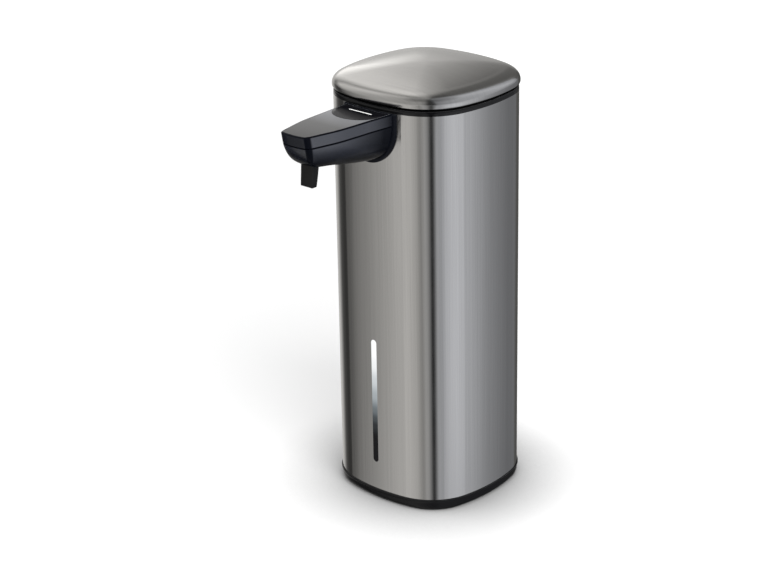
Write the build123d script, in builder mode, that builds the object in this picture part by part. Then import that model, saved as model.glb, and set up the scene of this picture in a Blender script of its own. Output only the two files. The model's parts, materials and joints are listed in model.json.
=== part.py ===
from build123d import *

import os
from math import acos, asin, cos, degrees, pi, radians, sin, sqrt, tan

# A countertop soap dispenser with a hand sensor: a brushed steel sleeve over a refillable tank, a small
# geared pump behind the spout, and a hinged lid over the filler. Millimetres, +Z up, spout towards -Y,
# origin on the counter under the body's axis.

# Body outline, a square with bulged sides and round corners
body_half = 41.0
body_side_radius = 88.3
body_corner_radius = 27.0

# Heights of the outside
sleeve_bottom = 5.9
sleeve_top = 205.2
collar_top = 207.4
lid_rim = 208.85
sleeve_wall = 0.7

# Clearances shared by the whole part
slip_gap = 0.3
running_gap = 0.05
quarter_turn = 90
half_turn = 180

# Base shell with the battery box
base_bottom = 0.8
base_taper = 2.6
base_shoulder_inset = 0.3
base_wall = 1.6
base_floor = 1.6
base_rim_gap = 0.2
box_wall = 2.0
box_roof = 1.4
box_corner_radius = 2.0
cell_diameter = 10.5
cell_length = 43.0
cell_nub_diameter = 3.8
cell_nub_length = 1.3
cell_pitch = 11.3
cell_count = 4
cell_air = 0.6
box_middle_y = -1.6
contact_room = 4.0
contact_thickness = 0.5
contact_width = 7.0
contact_half_height = 4.0
contact_touch = 0.1
door_thickness = 1.5
door_lap = 1.2
door_screw_radius = 1.2
door_screw_head_radius = 2.6
door_screw_head = 0.9
door_screw_length = 5.0
door_screw_inset = 2.0
door_tab_half = 4.2
door_tab_margin = 0.5

# Rubber foot ring
foot_inset = 5.0
foot_width = 3.2
foot_groove = 0.6

# Screws
screw_radius = 1.1
screw_head_radius = 2.3
screw_head_height = 1.5
screw_pass_gap = 0.3
case_screw_length = 17.0
module_screw_length = 6.5
pump_screw_length = 16.5
small_screw_radius = 0.8
small_head_radius = 1.6
small_head_height = 1.0
small_screw_length = 6.5
boss_radius = 3.2
base_screw_x = 31.5
base_screw_y = 18.0
screw_end_gap = 0.4
drive_recess_share = 0.55
drive_depth_share = 0.5

# Tank
tank_gap = 0.5
tank_wall = 1.8
tank_top = 104.0
tank_boss_height = 6.0
window_groove_width = 8.4
window_groove_depth = 3.2
lead_groove_width = 8.0
lead_groove_depth = 4.6
lead_groove_y = 12.0
gasket_thickness = 0.8
cover_thickness = 2.4
cover_rib_depth = 3.0
cover_rib_width = 1.6

# Filler chimney and the mouth in the deck
filler_width = 54.0
filler_depth = 27.0
filler_front = 7.0
filler_wall = 1.6
filler_corner_radius = 6.0

# Level window and its lamp
slot_width = 3.4
slot_bottom = 20.6
slot_top = 87.0
window_gap = 0.05
window_face_gap = 0.15
window_flange_width = 6.8
window_foot = 17.5
window_head = 92.0
lamp_board_thickness = 1.0
lamp_board_top = 104.0
lamp_width = 3.2
lamp_height = 3.0

# Pickup tube
pickup_outer = 3.0
pickup_inner = 2.05
pickup_lift = 3.6
pickup_passage_gap = 0.3
filter_radius = 5.0
filter_height = 10.0
filter_slot = 2.0
filter_chamber_radius = 3.9

# Pump
pump_teeth = 10
pump_module = 1.2
pump_gear_height = 8.0
gear_backlash_gap = 0.15
pump_face_gap = 0.15
pump_floor = 3.3
pump_half_width = 16.5
pump_half_depth = 13.0
pump_axis_y = -14.0
pump_cover_thickness = 3.0
port_radius = 1.5
outlet_port_y = -31.5
inlet_port_y = -4.6
port_boss_radius = 3.4
barb_radius = 1.6
barb_bore = 0.95
barb_length = 7.0
inlet_nipple_radius = 2.0
inlet_nipple_length = 9.0
drive_shaft_radius = 1.5
idler_pin_radius = 1.5
shaft_seal_radius = 4.0
shaft_seal_height = 2.0
shaft_foot = 1.5
pump_screw_margin = 3.2
cavity_gap = 0.3

# Shape of every gear tooth
pressure_angle = 20
addendum_share = 0.8
dedendum_share = 1.1
tooth_width_share = 0.9
flank_shares = (0, 0.3, 0.55, 0.8, 1)

# Reduction gear and motor
drive_module = 0.6
wheel_teeth = 42
pinion_teeth = 12
wheel_height = 4.6
pinion_height = 6.0
wheel_lift = 3.6
drive_backlash_gap = 0.12
wheel_hub_radius = 3.2
wheel_hub_height = 1.4
wheel_web_share = 0.45
wheel_web_place_share = 0.55
wheel_web_hole_share = 0.42
wheel_web_count = 6
motor_radius = 12.0
motor_length = 30.0
motor_wall = 1.0
motor_boss_radius = 3.0
motor_boss_height = 1.5
motor_shaft_radius = 1.0
motor_cap_height = 3.0
rotor_radius = 7.6
magnet_thickness = 2.6
magnet_split = 8.0
motor_screw_radius = 8.5
rotor_clear = 5.0
terminal_offset = 1.6
terminal_width = 2.0
terminal_thickness = 0.5
terminal_height = 2.6
bracket_thickness = 2.5
bracket_leg_radius = 2.6
bracket_left = -22.5
bracket_right = 25.5
bracket_front = -27.6
bracket_rear = 1.0
bracket_inset = 3.2

# Chassis
chassis_thickness = 2.5
chassis_inset = 2.4
chassis_rear = 5.2
column_radius = 3.2
front_column_x = 29.8
front_column_y = -21.5
rear_column_x = 33.0
rear_column_y = -5.0
chassis_front_screw_x = 22.5
chassis_front_screw_y = -30.0
chassis_rear_screw_x = 27.0
chassis_rear_screw_y = 2.0
chassis_boss_height = 3.6
lead_notch_half = 4.6
lead_notch_inset = 5.6

# Deck, collar and controls
deck_thickness = 3.0
deck_skirt_depth = 10.0
deck_skirt_wall = 1.6
collar_inset = 0.3
collar_width = 3.8
mouth_lip = 2.5
mouth_lip_height = 1.2
spigot_depth = 6.0
spigot_wall = 1.4
standoff_radius = 2.4
board_half_width = 26.0
board_front = -26.0
board_rear = 4.6
board_thickness = 1.6
board_drop = 5.6
board_screw_inset = 3.4
switch_side = 6.0
switch_height = 3.7
switch_plunger = 0.7
button_radius = 4.0
button_flange_radius = 5.0
button_flange_height = 0.8
button_pitch = 15.0
button_y = -15.0
button_stand = 0.8
button_travel = 0.7
button_dish_radius = 14.0
button_dish_depth = 0.35
button_slide_gap = 0.2
chip_side = 12.0
chip_height = 1.6
chip_x = -13.0
chip_y = -8.0
capacitor_radius = 3.0
capacitor_height = 7.0
capacitor_x = 2.0
capacitor_y = -4.0
socket_width = 6.4
socket_depth = 4.0
socket_height = 4.2
lamp_socket_x = -15.0
sensor_socket_x = 11.0
front_socket_y = -23.6
battery_socket_x = -17.2
battery_socket_y = 1.0
motor_socket_x = 15.0

# Lid
lid_overhang = 0.6
lid_wall = 0.8
lid_band = 1.1
lid_shoulder_inset = 8.6
lid_shoulder_height = 5.55
lid_shoulder_steps = 6
lid_rise = 3.5
lid_dome_shares = (1, 0.85, 0.68, 0.5, 0.32, 0.16, 0.05)
liner_drop = 1.15
liner_inset = 2.6
liner_height = 2.0
liner_fit = 0.25
liner_rib_height = 3.4
liner_rib_width = 2.0
liner_rib_half = 25.0
liner_rib_pitch = 14.0
seal_gap = 0.1
lid_arm_front = 33.5
lid_arm_bottom = 208.3
lid_arm_top = 210.6
hinge_web_front = 37.4
hinge_web_rear = 40.6
hinge_notch_front = 36.8
hinge_y = 39.0
hinge_z = 209.2
hinge_pin_radius = 0.8
knuckle_radius = 1.9
deck_knuckle_half = 5.7
knuckle_length = 6.0
knuckle_gap = 0.3
hinge_notch_half = 13.0
hinge_relief_half = 17.0
hinge_relief_depth = 0.7
hinge_relief_front = 36.4

# Spout
spout_top = 205.6
spout_part_drop = 6.0
spout_seam = 0.25
spout_wall = 1.6
spout_reach = 52.4
cheek_share = 0.93
cheek_drop_share = 0.55
chin_share = 0.78
nose_round_share = 0.6
# Each row: distance out from the body's front, half width, height of the underside
spout_stations = [
    (-1.0, 14.9, 181.1),
    (5.0, 13.8, 181.5),
    (13.0, 12.55, 182.4),
    (23.0, 12.0, 184.1),
    (33.0, 11.4, 186.2),
    (42.0, 9.9, 187.8),
    (53.4, 7.2, 189.1),
]
nose_side_reach = 43.9
nose_side_half = 9.75
nose_mid_reach = 49.2
nose_mid_half = 8.5
nose_front_reach = 51.6
nose_front_half = 5.7
nose_chin_reach = 40.9
nose_chin_z = 187.0
nose_cheek_reach = 47.8
nose_cheek_z = 191.0
nose_lip_reach = 50.9
nose_lip_z = 198.0
flange_half = 16.2
flange_drop = 8.0
flange_bottom = 179.8
flange_stand = 1.6
flange_seat = 0.6
flange_fit = 0.15
passage_half = 6.8
passage_bottom = 186.4
passage_top = 200.0
spigot_half = 12.6
spigot_corner_radius = 8.0
spigot_bottom = 184.6
spigot_top = 201.8
spigot_reach = 4.0
spout_screw_x = 10.4
spout_screw_z = 191.0
spout_boss_radius = 2.2
spout_boss_length = 6.5
spout_screw_seat_depth = 2.3
skirt_gap_half = 14.0

# Indicator on the spout's top
indicator_front_reach = 19.0
indicator_side_reach = 12.5
indicator_margin = 1.7
indicator_root_half = 14.75
indicator_side_half = 12.6
indicator_thickness = 0.9
indicator_gap = 0.08
lamp_slit_reach = 6.0
lamp_slit_half = 7.2
lamp_slit_width = 0.8
lamp_bar_drop = 2.4

# Hand sensor under the spout
sensor_reach = 21.0
sensor_half_width = 6.0
sensor_half_length = 5.5
sensor_gap = 0.1
sensor_board_half_width = 4.6
sensor_board_half_length = 6.5
sensor_board_z = 188.9
sensor_board_thickness = 0.9
sensor_eye_radius = 1.5
sensor_eye_offset = 2.5
sensor_eye_height = 1.6

# Nozzle and soap line
tube_outer = 2.5
tube_inner = 1.6
tube_bend = 14.0
tube_z = 194.6
nozzle_reach = 41.4
nozzle_half_width = 3.8
nozzle_top_half = 1.8
nozzle_tip_half = 0.85
nozzle_top = 192.0
nozzle_gap = 0.1
nozzle_tip = 178.0
nozzle_collar = 0.6
nozzle_collar_height = 0.8
nozzle_bore_share = 0.6
nozzle_slit_share = 0.25
elbow_half_width = 3.2
elbow_half_depth = 2.4
elbow_height = 4.6
elbow_barb_length = 5.0

# Wires
wire_radius = 0.6
wire_bend = 2.0
wire_pair_pitch = 1.6
lead_wall_gap = 0.6
lead_stack_x = -14.0
lead_stack_inset = 6.5
lead_cross_rise = 9.0
lead_turn_drop = 9.0
battery_lead_lift = 1.2
sensor_lead_x = 4.6

UPWARD = (Align.CENTER, Align.CENTER, Align.MIN)
DOWNWARD = (Align.CENTER, Align.CENTER, Align.MAX)

# Places worked out from the sizes above
side_centre = body_side_radius - body_half
corner_reach = body_side_radius - body_corner_radius
corner_centre = (sqrt(2 * corner_reach**2 - side_centre**2) - side_centre) / 2
side_half_angle = degrees(asin(corner_centre / corner_reach))

spout_front_out = body_half + spout_reach
nose_side_out = body_half + nose_side_reach
nose_mid_out = body_half + nose_mid_reach
nose_front_out = body_half + nose_front_reach
nose_chin_out = body_half + nose_chin_reach
nose_cheek_out = body_half + nose_cheek_reach
nose_lip_out = body_half + nose_lip_reach
indicator_front_out = body_half + indicator_front_reach
indicator_side_out = body_half + indicator_side_reach
lamp_slit_out = body_half + lamp_slit_reach
sensor_out = body_half + sensor_reach
nozzle_out = body_half + nozzle_reach
nozzle_tip_out = nozzle_out + nozzle_top_half - nozzle_tip_half
lead_stack_y = lead_stack_inset - body_half
lead_notch_front = lead_notch_inset - body_half

base_rim_inset = sleeve_wall + base_rim_gap
box_floor = base_bottom + base_floor
base_screw_seat = foot_groove + base_bottom + screw_head_height + screw_end_gap
cell_axis_z = box_floor + cell_air / 2 + cell_diameter / 2
box_ceiling = box_floor + cell_diameter + cell_air
base_top = box_ceiling + box_roof
box_half_x = (cell_pitch * (cell_count - 1) + cell_diameter + cell_air) / 2
box_half_y = (cell_length + cell_nub_length) / 2 + contact_room
door_half_x = box_half_x + door_lap
door_half_y = box_half_y + door_lap
door_corner_radius = box_corner_radius + door_lap
door_bottom = box_floor - door_thickness
door_screw_y = box_middle_y + box_half_y + box_wall + door_screw_inset
door_tab_rear = door_screw_y + door_screw_head_radius + door_tab_margin
door_screw_tip = door_bottom + door_screw_head + door_screw_length + screw_end_gap
foot_top = base_bottom + foot_groove

tank_inset = sleeve_wall + tank_gap
tank_half = body_half - tank_inset
tank_bottom = base_top
tank_floor = tank_bottom + tank_wall
cover_bottom = tank_top + gasket_thickness
cover_top = cover_bottom + cover_thickness
chassis_top = cover_top + chassis_thickness

deck_bottom = sleeve_top - deck_thickness
filler_centre_y = filler_front + filler_depth / 2
chimney_top = deck_bottom - gasket_thickness
mouth_width = filler_width - 2 * (filler_wall + slip_gap + spigot_wall)
mouth_depth = filler_depth - 2 * (filler_wall + slip_gap + spigot_wall)
mouth_corner = filler_corner_radius - filler_wall - slip_gap - spigot_wall

cavity_floor = chassis_top + pump_floor
cavity_radius = pump_teeth * pump_module / 2 + pump_module * addendum_share + cavity_gap
drive_bore = drive_shaft_radius + running_gap
gear_bottom = cavity_floor + pump_face_gap
shaft_end = cavity_floor - pump_floor + shaft_foot
cavity_ceiling = cavity_floor + pump_gear_height + 2 * pump_face_gap
pump_cover_top = cavity_ceiling + pump_cover_thickness
pump_centres = pump_teeth * pump_module + gear_backlash_gap
drive_x = -pump_centres / 2
idler_x = pump_centres / 2
port_z = (cavity_floor + cavity_ceiling) / 2
wheel_bottom = pump_cover_top + shaft_seal_height + wheel_lift
wheel_top = wheel_bottom + wheel_height
bracket_bottom = wheel_top + wheel_hub_height + small_head_height + slip_gap
bracket_top = bracket_bottom + bracket_thickness
drive_centres = (wheel_teeth + pinion_teeth) * drive_module / 2 + drive_backlash_gap
motor_x = drive_x + drive_centres
motor_y = pump_axis_y
motor_top = bracket_top + motor_length
pinion_bottom = wheel_bottom - (pinion_height - wheel_height) / 2

board_top = deck_bottom - board_drop
board_bottom = board_top - board_thickness
socket_bottom = board_bottom - socket_height
board_screw_tip = board_bottom + small_screw_length + screw_end_gap
lead_turn_z = socket_bottom - lead_turn_drop
battery_lead_z = socket_bottom + battery_lead_lift
base_screw_tip = base_screw_seat + case_screw_length + screw_end_gap
case_screw_tip = sleeve_top - screw_head_height - case_screw_length - screw_end_gap
pump_screw_tip = pump_cover_top - pump_screw_length - screw_end_gap
sensor_eye_bottom = sensor_board_z - sensor_eye_height
button_top = sleeve_top + button_stand
stem_bottom = board_top + switch_height + slip_gap + button_travel

liner_bottom = lid_rim - liner_drop
liner_top = lid_rim + liner_height
lid_shoulder_top = lid_rim + lid_band + lid_shoulder_height
lid_shoulder_half = body_half + lid_overhang - lid_shoulder_inset
lid_dome_slope = 2 * lid_rise / lid_shoulder_half
lid_slope_share = lid_dome_slope * lid_shoulder_inset / lid_shoulder_height
lid_shoulder_sweep = degrees(acos(lid_slope_share / (1 - lid_slope_share)))
lid_shoulder_across = lid_shoulder_inset / (1 - cos(radians(lid_shoulder_sweep)))
lid_shoulder_up = lid_shoulder_height / sin(radians(lid_shoulder_sweep))

spout_part_z = spout_top - spout_part_drop
box_side_x = box_half_x + box_wall
lamp_bottom = window_head + slip_gap
window_back = tank_half - window_groove_depth + slip_gap
level_lead_y = -window_back - lamp_board_thickness - slip_gap
elbow_bottom = nozzle_top
lead_x = tank_half - lead_groove_depth + wire_radius + lead_wall_gap
mouth_top = sleeve_top + mouth_lip_height
flange_curve_z = sleeve_top - flange_drop
spout_screw_seat = body_half - sleeve_wall - spigot_reach + spout_screw_seat_depth
elbow_top = elbow_bottom + elbow_height
tube_rise_y = outlet_port_y
sensor_board_top = sensor_board_z + sensor_board_thickness

column_spots = [
    (-front_column_x, front_column_y),
    (front_column_x, front_column_y),
    (-rear_column_x, rear_column_y),
    (rear_column_x, rear_column_y),
]
chassis_screw_spots = [
    (-chassis_front_screw_x, chassis_front_screw_y),
    (chassis_front_screw_x, chassis_front_screw_y),
    (-chassis_rear_screw_x, chassis_rear_screw_y),
    (chassis_rear_screw_x, chassis_rear_screw_y),
]
leg_spots = [
    (bracket_left + bracket_inset, bracket_front + bracket_inset),
    (bracket_right - bracket_inset, bracket_front + bracket_inset),
    (bracket_left + bracket_inset, bracket_rear - bracket_inset),
    (bracket_right - bracket_inset, bracket_rear - bracket_inset),
]
base_screw_spots = [(x, y) for x in (-base_screw_x, base_screw_x) for y in (-base_screw_y, base_screw_y)]
pump_screw_x = pump_half_width - pump_screw_margin
pump_screw_reach = pump_half_depth - pump_screw_margin
pump_screw_spots = [
    (x, y)
    for x in (-pump_screw_x, pump_screw_x)
    for y in (pump_axis_y - pump_screw_reach, pump_axis_y + pump_screw_reach)
]
board_screw_x = board_half_width - board_screw_inset
board_screw_spots = [
    (x, y)
    for x in (-board_screw_x, board_screw_x)
    for y in (board_front + board_screw_inset, board_rear - board_screw_inset)
]
motor_screw_spots = [(motor_x, motor_y - motor_screw_radius), (motor_x, motor_y + motor_screw_radius)]
button_spots = [(-button_pitch, button_y), (0, button_y), (button_pitch, button_y)]
socket_spots = [
    (lamp_socket_x, front_socket_y),
    (sensor_socket_x, front_socket_y),
    (battery_socket_x, battery_socket_y),
    (motor_socket_x, motor_y),
]

# Shapes shared by several pieces


def body_outline(inset):
    """Closed outline of the body, moved inwards by inset: four shallow sides and four round corners."""
    side_radius = body_side_radius - inset
    corner_radius = body_corner_radius - inset
    for quarter in range(4):
        turn = quarter_turn * quarter
        side_spot = Vector(-side_centre, 0).rotate(Axis.Z, turn)
        corner_spot = Vector(corner_centre, corner_centre).rotate(Axis.Z, turn)
        CenterArc(side_spot, side_radius, turn - side_half_angle, 2 * side_half_angle)
        CenterArc(corner_spot, corner_radius, turn + side_half_angle, quarter_turn - 2 * side_half_angle)


def body_slab(inset, bottom, top, mode=Mode.ADD):
    """Slab of the body's outline between two heights, in the piece that is being built."""
    with BuildSketch(Plane.XY.offset(bottom)) as section:
        with BuildLine():
            body_outline(inset)
        make_face()
    extrude(section.sketch, amount=top - bottom, mode=mode)


def rounded_slab(width, depth, radius, middle_y, bottom, top, mode=Mode.ADD):
    """Slab with a round-cornered rectangular outline, centred across the body."""
    with BuildSketch(Plane.XY.offset(bottom)) as section:
        with Locations((0, middle_y)):
            RectangleRounded(width, depth, radius)
    extrude(section.sketch, amount=top - bottom, mode=mode)


def brick(left, right, front, rear, bottom, top, mode=Mode.ADD):
    """Plain block between six planes."""
    with Locations(((left + right) / 2, (front + rear) / 2, bottom)):
        Box(right - left, rear - front, top - bottom, align=UPWARD, mode=mode)


def column(spots, bottom, top, radius, mode=Mode.ADD):
    """Upright round bar at each of the spots."""
    with Locations([(x, y, bottom) for x, y in spots]):
        Cylinder(radius, top - bottom, align=UPWARD, mode=mode)


def tank_slab(inset, bottom, top, mode=Mode.ADD):
    """Slab of the tank's outline, moved inwards by inset, with its two grooves."""
    with BuildSketch(Plane.XY.offset(bottom)) as section:
        with BuildLine():
            body_outline(tank_inset + inset)
        make_face()
        with Locations((0, -tank_half)):
            Rectangle(
                window_groove_width + 2 * inset,
                2 * (window_groove_depth + inset),
                mode=Mode.SUBTRACT,
            )
        with Locations((-tank_half, lead_groove_y)):
            Rectangle(
                2 * (lead_groove_depth + inset),
                lead_groove_width + 2 * inset,
                mode=Mode.SUBTRACT,
            )
    extrude(section.sketch, amount=top - bottom, mode=mode)


def screws(places, length, shank, head, head_height):
    """Cross-recessed screws. Each place is the seat of a head, whose top looks along the place's Z."""
    drive = head * drive_recess_share
    depth = head_height * drive_depth_share
    with Locations(*places):
        Cylinder(shank, length, align=DOWNWARD)
        Cylinder(head, head_height, align=UPWARD)
    with Locations(*[place * Pos(0, 0, head_height) for place in places]):
        Box(2 * drive, drive / 2, depth, align=DOWNWARD, mode=Mode.SUBTRACT)
        Box(drive / 2, 2 * drive, depth, align=DOWNWARD, mode=Mode.SUBTRACT)


def facing_up(spots, seat):
    """Places of screw heads that look up."""
    return [Location((x, y, seat)) for x, y in spots]


def facing_down(spots, seat):
    """Places of screw heads that look down."""
    return [Location((x, y, seat), (half_turn, 0, 0)) for x, y in spots]


def pressure_angle_spread(base_radius, radius):
    """Angle by which an involute flank has turned away from its start, at a radius."""
    if radius <= base_radius:
        return 0
    pressure = acos(base_radius / radius)
    return tan(pressure) - pressure


def gear_outline(spot, teeth, module, start_turn):
    """Points round a stub-toothed involute gear at a spot, with its first tooth at start_turn degrees."""
    pitch_radius = teeth * module / 2
    base_radius = pitch_radius * cos(radians(pressure_angle))
    tip_radius = pitch_radius + module * addendum_share
    root_radius = pitch_radius - module * dedendum_share
    half_tooth = pi / (2 * teeth) * tooth_width_share
    spread_at_pitch = pressure_angle_spread(base_radius, pitch_radius)
    flank = []
    for share in flank_shares:
        radius = root_radius + (tip_radius - root_radius) * share
        turn = half_tooth + spread_at_pitch - pressure_angle_spread(base_radius, radius)
        flank.append((radius, turn))
    points = []
    for tooth in range(teeth):
        middle = radians(start_turn) + 2 * pi * tooth / teeth
        rise = [(r, middle - turn) for r, turn in flank]
        fall = [(r, middle + turn) for r, turn in reversed(flank)]
        points += [(spot[0] + r * cos(a), spot[1] + r * sin(a)) for r, a in rise + fall]
    return points


def gear(spot, teeth, module, start_turn, bottom, height):
    """Straight-toothed gear standing at a spot."""
    with BuildSketch(Plane.XY.offset(bottom)) as section:
        with BuildLine():
            Polyline(*gear_outline(spot, teeth, module, start_turn), close=True)
        make_face()
    extrude(section.sketch, amount=height)


def bent_rod(points, bend, radius, bore=0):
    """Round rod or tube along straight runs joined by tangent arcs."""
    with BuildPart() as rod:
        with BuildLine() as route:
            FilletPolyline(*points, radius=bend)
        with BuildSketch(Plane(route.line @ 0, z_dir=route.line % 0)):
            Circle(radius)
            if bore:
                Circle(bore, mode=Mode.SUBTRACT)
        sweep()
    return rod.part


def spout_form(inset):
    """The spout as one solid, or its hollow when inset is the wall."""
    with BuildPart() as form:
        for reach, half, underside in spout_stations:
            w = half - inset
            top = spout_top - inset
            bottom = underside + inset
            drop = spout_part_z - bottom
            with BuildSketch(Plane.XZ.offset(body_half + reach)):
                with BuildLine():
                    Line((-w, top), (w, top))
                    Line((w, top), (w, spout_part_z))
                    cheek = (w * cheek_share, spout_part_z - drop * cheek_drop_share)
                    chin = (w * chin_share, bottom)
                    Bezier((w, spout_part_z), cheek, chin, (0, bottom))
                    Bezier((0, bottom), (-chin[0], bottom), (-cheek[0], cheek[1]), (-w, spout_part_z))
                    Line((-w, spout_part_z), (-w, top))
                make_face()
        loft()
        with BuildSketch(Plane.XY.offset(flange_bottom)) as plan:
            with BuildLine():
                side_y = inset - nose_side_out
                mid = (nose_mid_half - inset, inset - nose_mid_out)
                front = (nose_front_half - inset * nose_round_share, inset - nose_front_out)
                broad = body_half
                Polyline(
                    (-nose_side_half + inset, side_y),
                    (-broad, side_y),
                    (-broad, 0),
                    (broad, 0),
                    (broad, side_y),
                    (nose_side_half - inset, side_y),
                )
                ThreePointArc((nose_side_half - inset, side_y), mid, front)
                ThreePointArc(front, (0, inset - spout_front_out), (-front[0], front[1]))
                ThreePointArc((-front[0], front[1]), (-mid[0], mid[1]), (-nose_side_half + inset, side_y))
            make_face()
        extrude(plan.sketch, amount=spout_top - flange_bottom, mode=Mode.INTERSECT)
        with BuildSketch(Plane.YZ.offset(-body_half)) as profile:
            with BuildLine():
                front_y = inset - spout_front_out
                lip = (inset - nose_lip_out, nose_lip_z)
                chin = (inset - nose_chin_out, nose_chin_z + inset)
                cheek = (inset - nose_cheek_out, nose_cheek_z + inset * nose_round_share)
                Line((front_y, spout_top), lip)
                ThreePointArc(lip, cheek, chin)
                Polyline(
                    chin,
                    (inset - nose_chin_out, flange_bottom),
                    (0, flange_bottom),
                    (0, spout_top),
                    (front_y, spout_top),
                )
            make_face()
        extrude(profile.sketch, amount=2 * body_half, mode=Mode.INTERSECT)
    return form.part


def lid_form(inset):
    """The domed lid as one solid, or its hollow when inset is the wall."""
    edge = inset - lid_overhang
    with BuildPart() as form:
        body_slab(edge, lid_rim, lid_rim + lid_band)
        for step in range(lid_shoulder_steps + 1):
            turn = radians(lid_shoulder_sweep * step / lid_shoulder_steps)
            rise = lid_shoulder_up * sin(turn) - inset * step / lid_shoulder_steps
            with BuildSketch(Plane.XY.offset(lid_rim + lid_band + rise)):
                with BuildLine():
                    body_outline(edge + lid_shoulder_across * (1 - cos(turn)))
                make_face()
        loft()
        for share in lid_dome_shares:
            height = lid_shoulder_top - inset + lid_rise * (1 - share**2)
            with BuildSketch(Plane.XY.offset(height)):
                with BuildLine():
                    body_outline(edge + lid_shoulder_inset)
                make_face()
                scale(by=share)
        loft()
    return form.part


def finish(piece, name):
    """Name the piece and write it."""
    piece.part.label = name
    export_step(piece.part, f"parts/{name}.step")


os.makedirs("parts", exist_ok=True)

# Outer sleeve, base and foot

with BuildPart() as steel_sleeve:
    body_slab(0, sleeve_bottom, sleeve_top)
    body_slab(sleeve_wall, sleeve_bottom, sleeve_top, mode=Mode.SUBTRACT)
    with BuildSketch(Plane.XZ.offset(tank_half - window_groove_depth)) as slot:
        with Locations((0, (slot_bottom + slot_top) / 2)):
            SlotOverall(slot_top - slot_bottom, slot_width, rotation=quarter_turn)
    extrude(slot.sketch, amount=body_half, mode=Mode.SUBTRACT)
    with BuildSketch(Plane.XZ.offset(tank_half - window_groove_depth)) as spout_hole:
        with Locations((0, (spigot_bottom + spigot_top) / 2)):
            RectangleRounded(
                2 * (spigot_half + slip_gap),
                spigot_top - spigot_bottom + 2 * slip_gap,
                spigot_corner_radius,
            )
    extrude(spout_hole.sketch, amount=body_half, mode=Mode.SUBTRACT)
finish(steel_sleeve, "steel_sleeve")

with BuildPart() as base_shell:
    with BuildSketch(Plane.XY.offset(base_bottom)):
        with BuildLine():
            body_outline(base_shoulder_inset + base_taper)
        make_face()
    with BuildSketch(Plane.XY.offset(sleeve_bottom)):
        with BuildLine():
            body_outline(base_shoulder_inset)
        make_face()
    loft()
    body_slab(base_rim_inset, sleeve_bottom, base_top)
    with BuildSketch(Plane.XY.offset(box_floor)) as hollow:
        with BuildLine():
            body_outline(base_rim_inset + base_wall)
        make_face()
        with Locations((0, box_middle_y)):
            RectangleRounded(
                2 * (box_half_x + box_wall),
                2 * (box_half_y + box_wall),
                box_corner_radius + box_wall,
                mode=Mode.SUBTRACT,
            )
    extrude(hollow.sketch, amount=base_top - box_floor, mode=Mode.SUBTRACT)
    rounded_slab(
        2 * box_half_x,
        2 * box_half_y,
        box_corner_radius,
        box_middle_y,
        0,
        box_ceiling,
        mode=Mode.SUBTRACT,
    )
    rounded_slab(
        2 * (door_half_x + slip_gap),
        2 * (door_half_y + slip_gap),
        door_corner_radius,
        box_middle_y,
        0,
        box_floor,
        mode=Mode.SUBTRACT,
    )
    brick(
        -door_tab_half - slip_gap,
        door_tab_half + slip_gap,
        box_middle_y,
        door_tab_rear + slip_gap,
        0,
        box_floor,
        mode=Mode.SUBTRACT,
    )
    with BuildSketch() as foot_channel:
        with BuildLine():
            body_outline(foot_inset)
        make_face()
        with BuildLine():
            body_outline(foot_inset + foot_width)
        make_face(mode=Mode.SUBTRACT)
    extrude(foot_channel.sketch, amount=foot_top, mode=Mode.SUBTRACT)
    column(base_screw_spots, foot_top, base_top, boss_radius)
    column(base_screw_spots, 0, base_screw_seat, screw_head_radius + screw_pass_gap, mode=Mode.SUBTRACT)
    column(base_screw_spots, 0, base_top, screw_radius + screw_pass_gap, mode=Mode.SUBTRACT)
    column([(0, door_screw_y)], box_floor, base_top, boss_radius)
    column([(0, door_screw_y)], box_floor, door_screw_tip, door_screw_radius, mode=Mode.SUBTRACT)
finish(base_shell, "base_shell")

with BuildPart() as foot_ring:
    body_slab(foot_inset, 0, foot_top)
    body_slab(foot_inset + foot_width, 0, foot_top, mode=Mode.SUBTRACT)
finish(foot_ring, "foot_ring")

with BuildPart() as battery_door:
    rounded_slab(2 * door_half_x, 2 * door_half_y, door_corner_radius, box_middle_y, door_bottom, box_floor)
    brick(-door_tab_half, door_tab_half, box_middle_y, door_tab_rear, door_bottom, box_floor)
    column([(0, door_screw_y)], door_bottom, box_floor, door_screw_radius + slip_gap, mode=Mode.SUBTRACT)
    column(
        [(0, door_screw_y)],
        door_bottom,
        door_bottom + door_screw_head,
        door_screw_head_radius + slip_gap,
        mode=Mode.SUBTRACT,
    )
finish(battery_door, "battery_door")

with BuildPart() as battery_door_screw:
    screws(
        facing_down([(0, door_screw_y)], door_bottom + door_screw_head),
        door_screw_length,
        door_screw_radius,
        door_screw_head_radius,
        door_screw_head,
    )
finish(battery_door_screw, "battery_door_screw")

# Battery cells lie side by side and point in turn to the front and to the rear
with BuildPart() as battery_cells:
    for cell in range(cell_count):
        x = cell_pitch * (cell - (cell_count - 1) / 2)
        side = 1 if cell % 2 else -1
        nub_root = box_middle_y + side * (cell_length - cell_nub_length) / 2
        with Locations(Location((x, nub_root, cell_axis_z), (side * quarter_turn, 0, 0))):
            Cylinder(cell_diameter / 2, cell_length, align=UPWARD)
            Cylinder(cell_nub_diameter / 2, cell_nub_length, align=DOWNWARD)
finish(battery_cells, "battery_cells")

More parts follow.
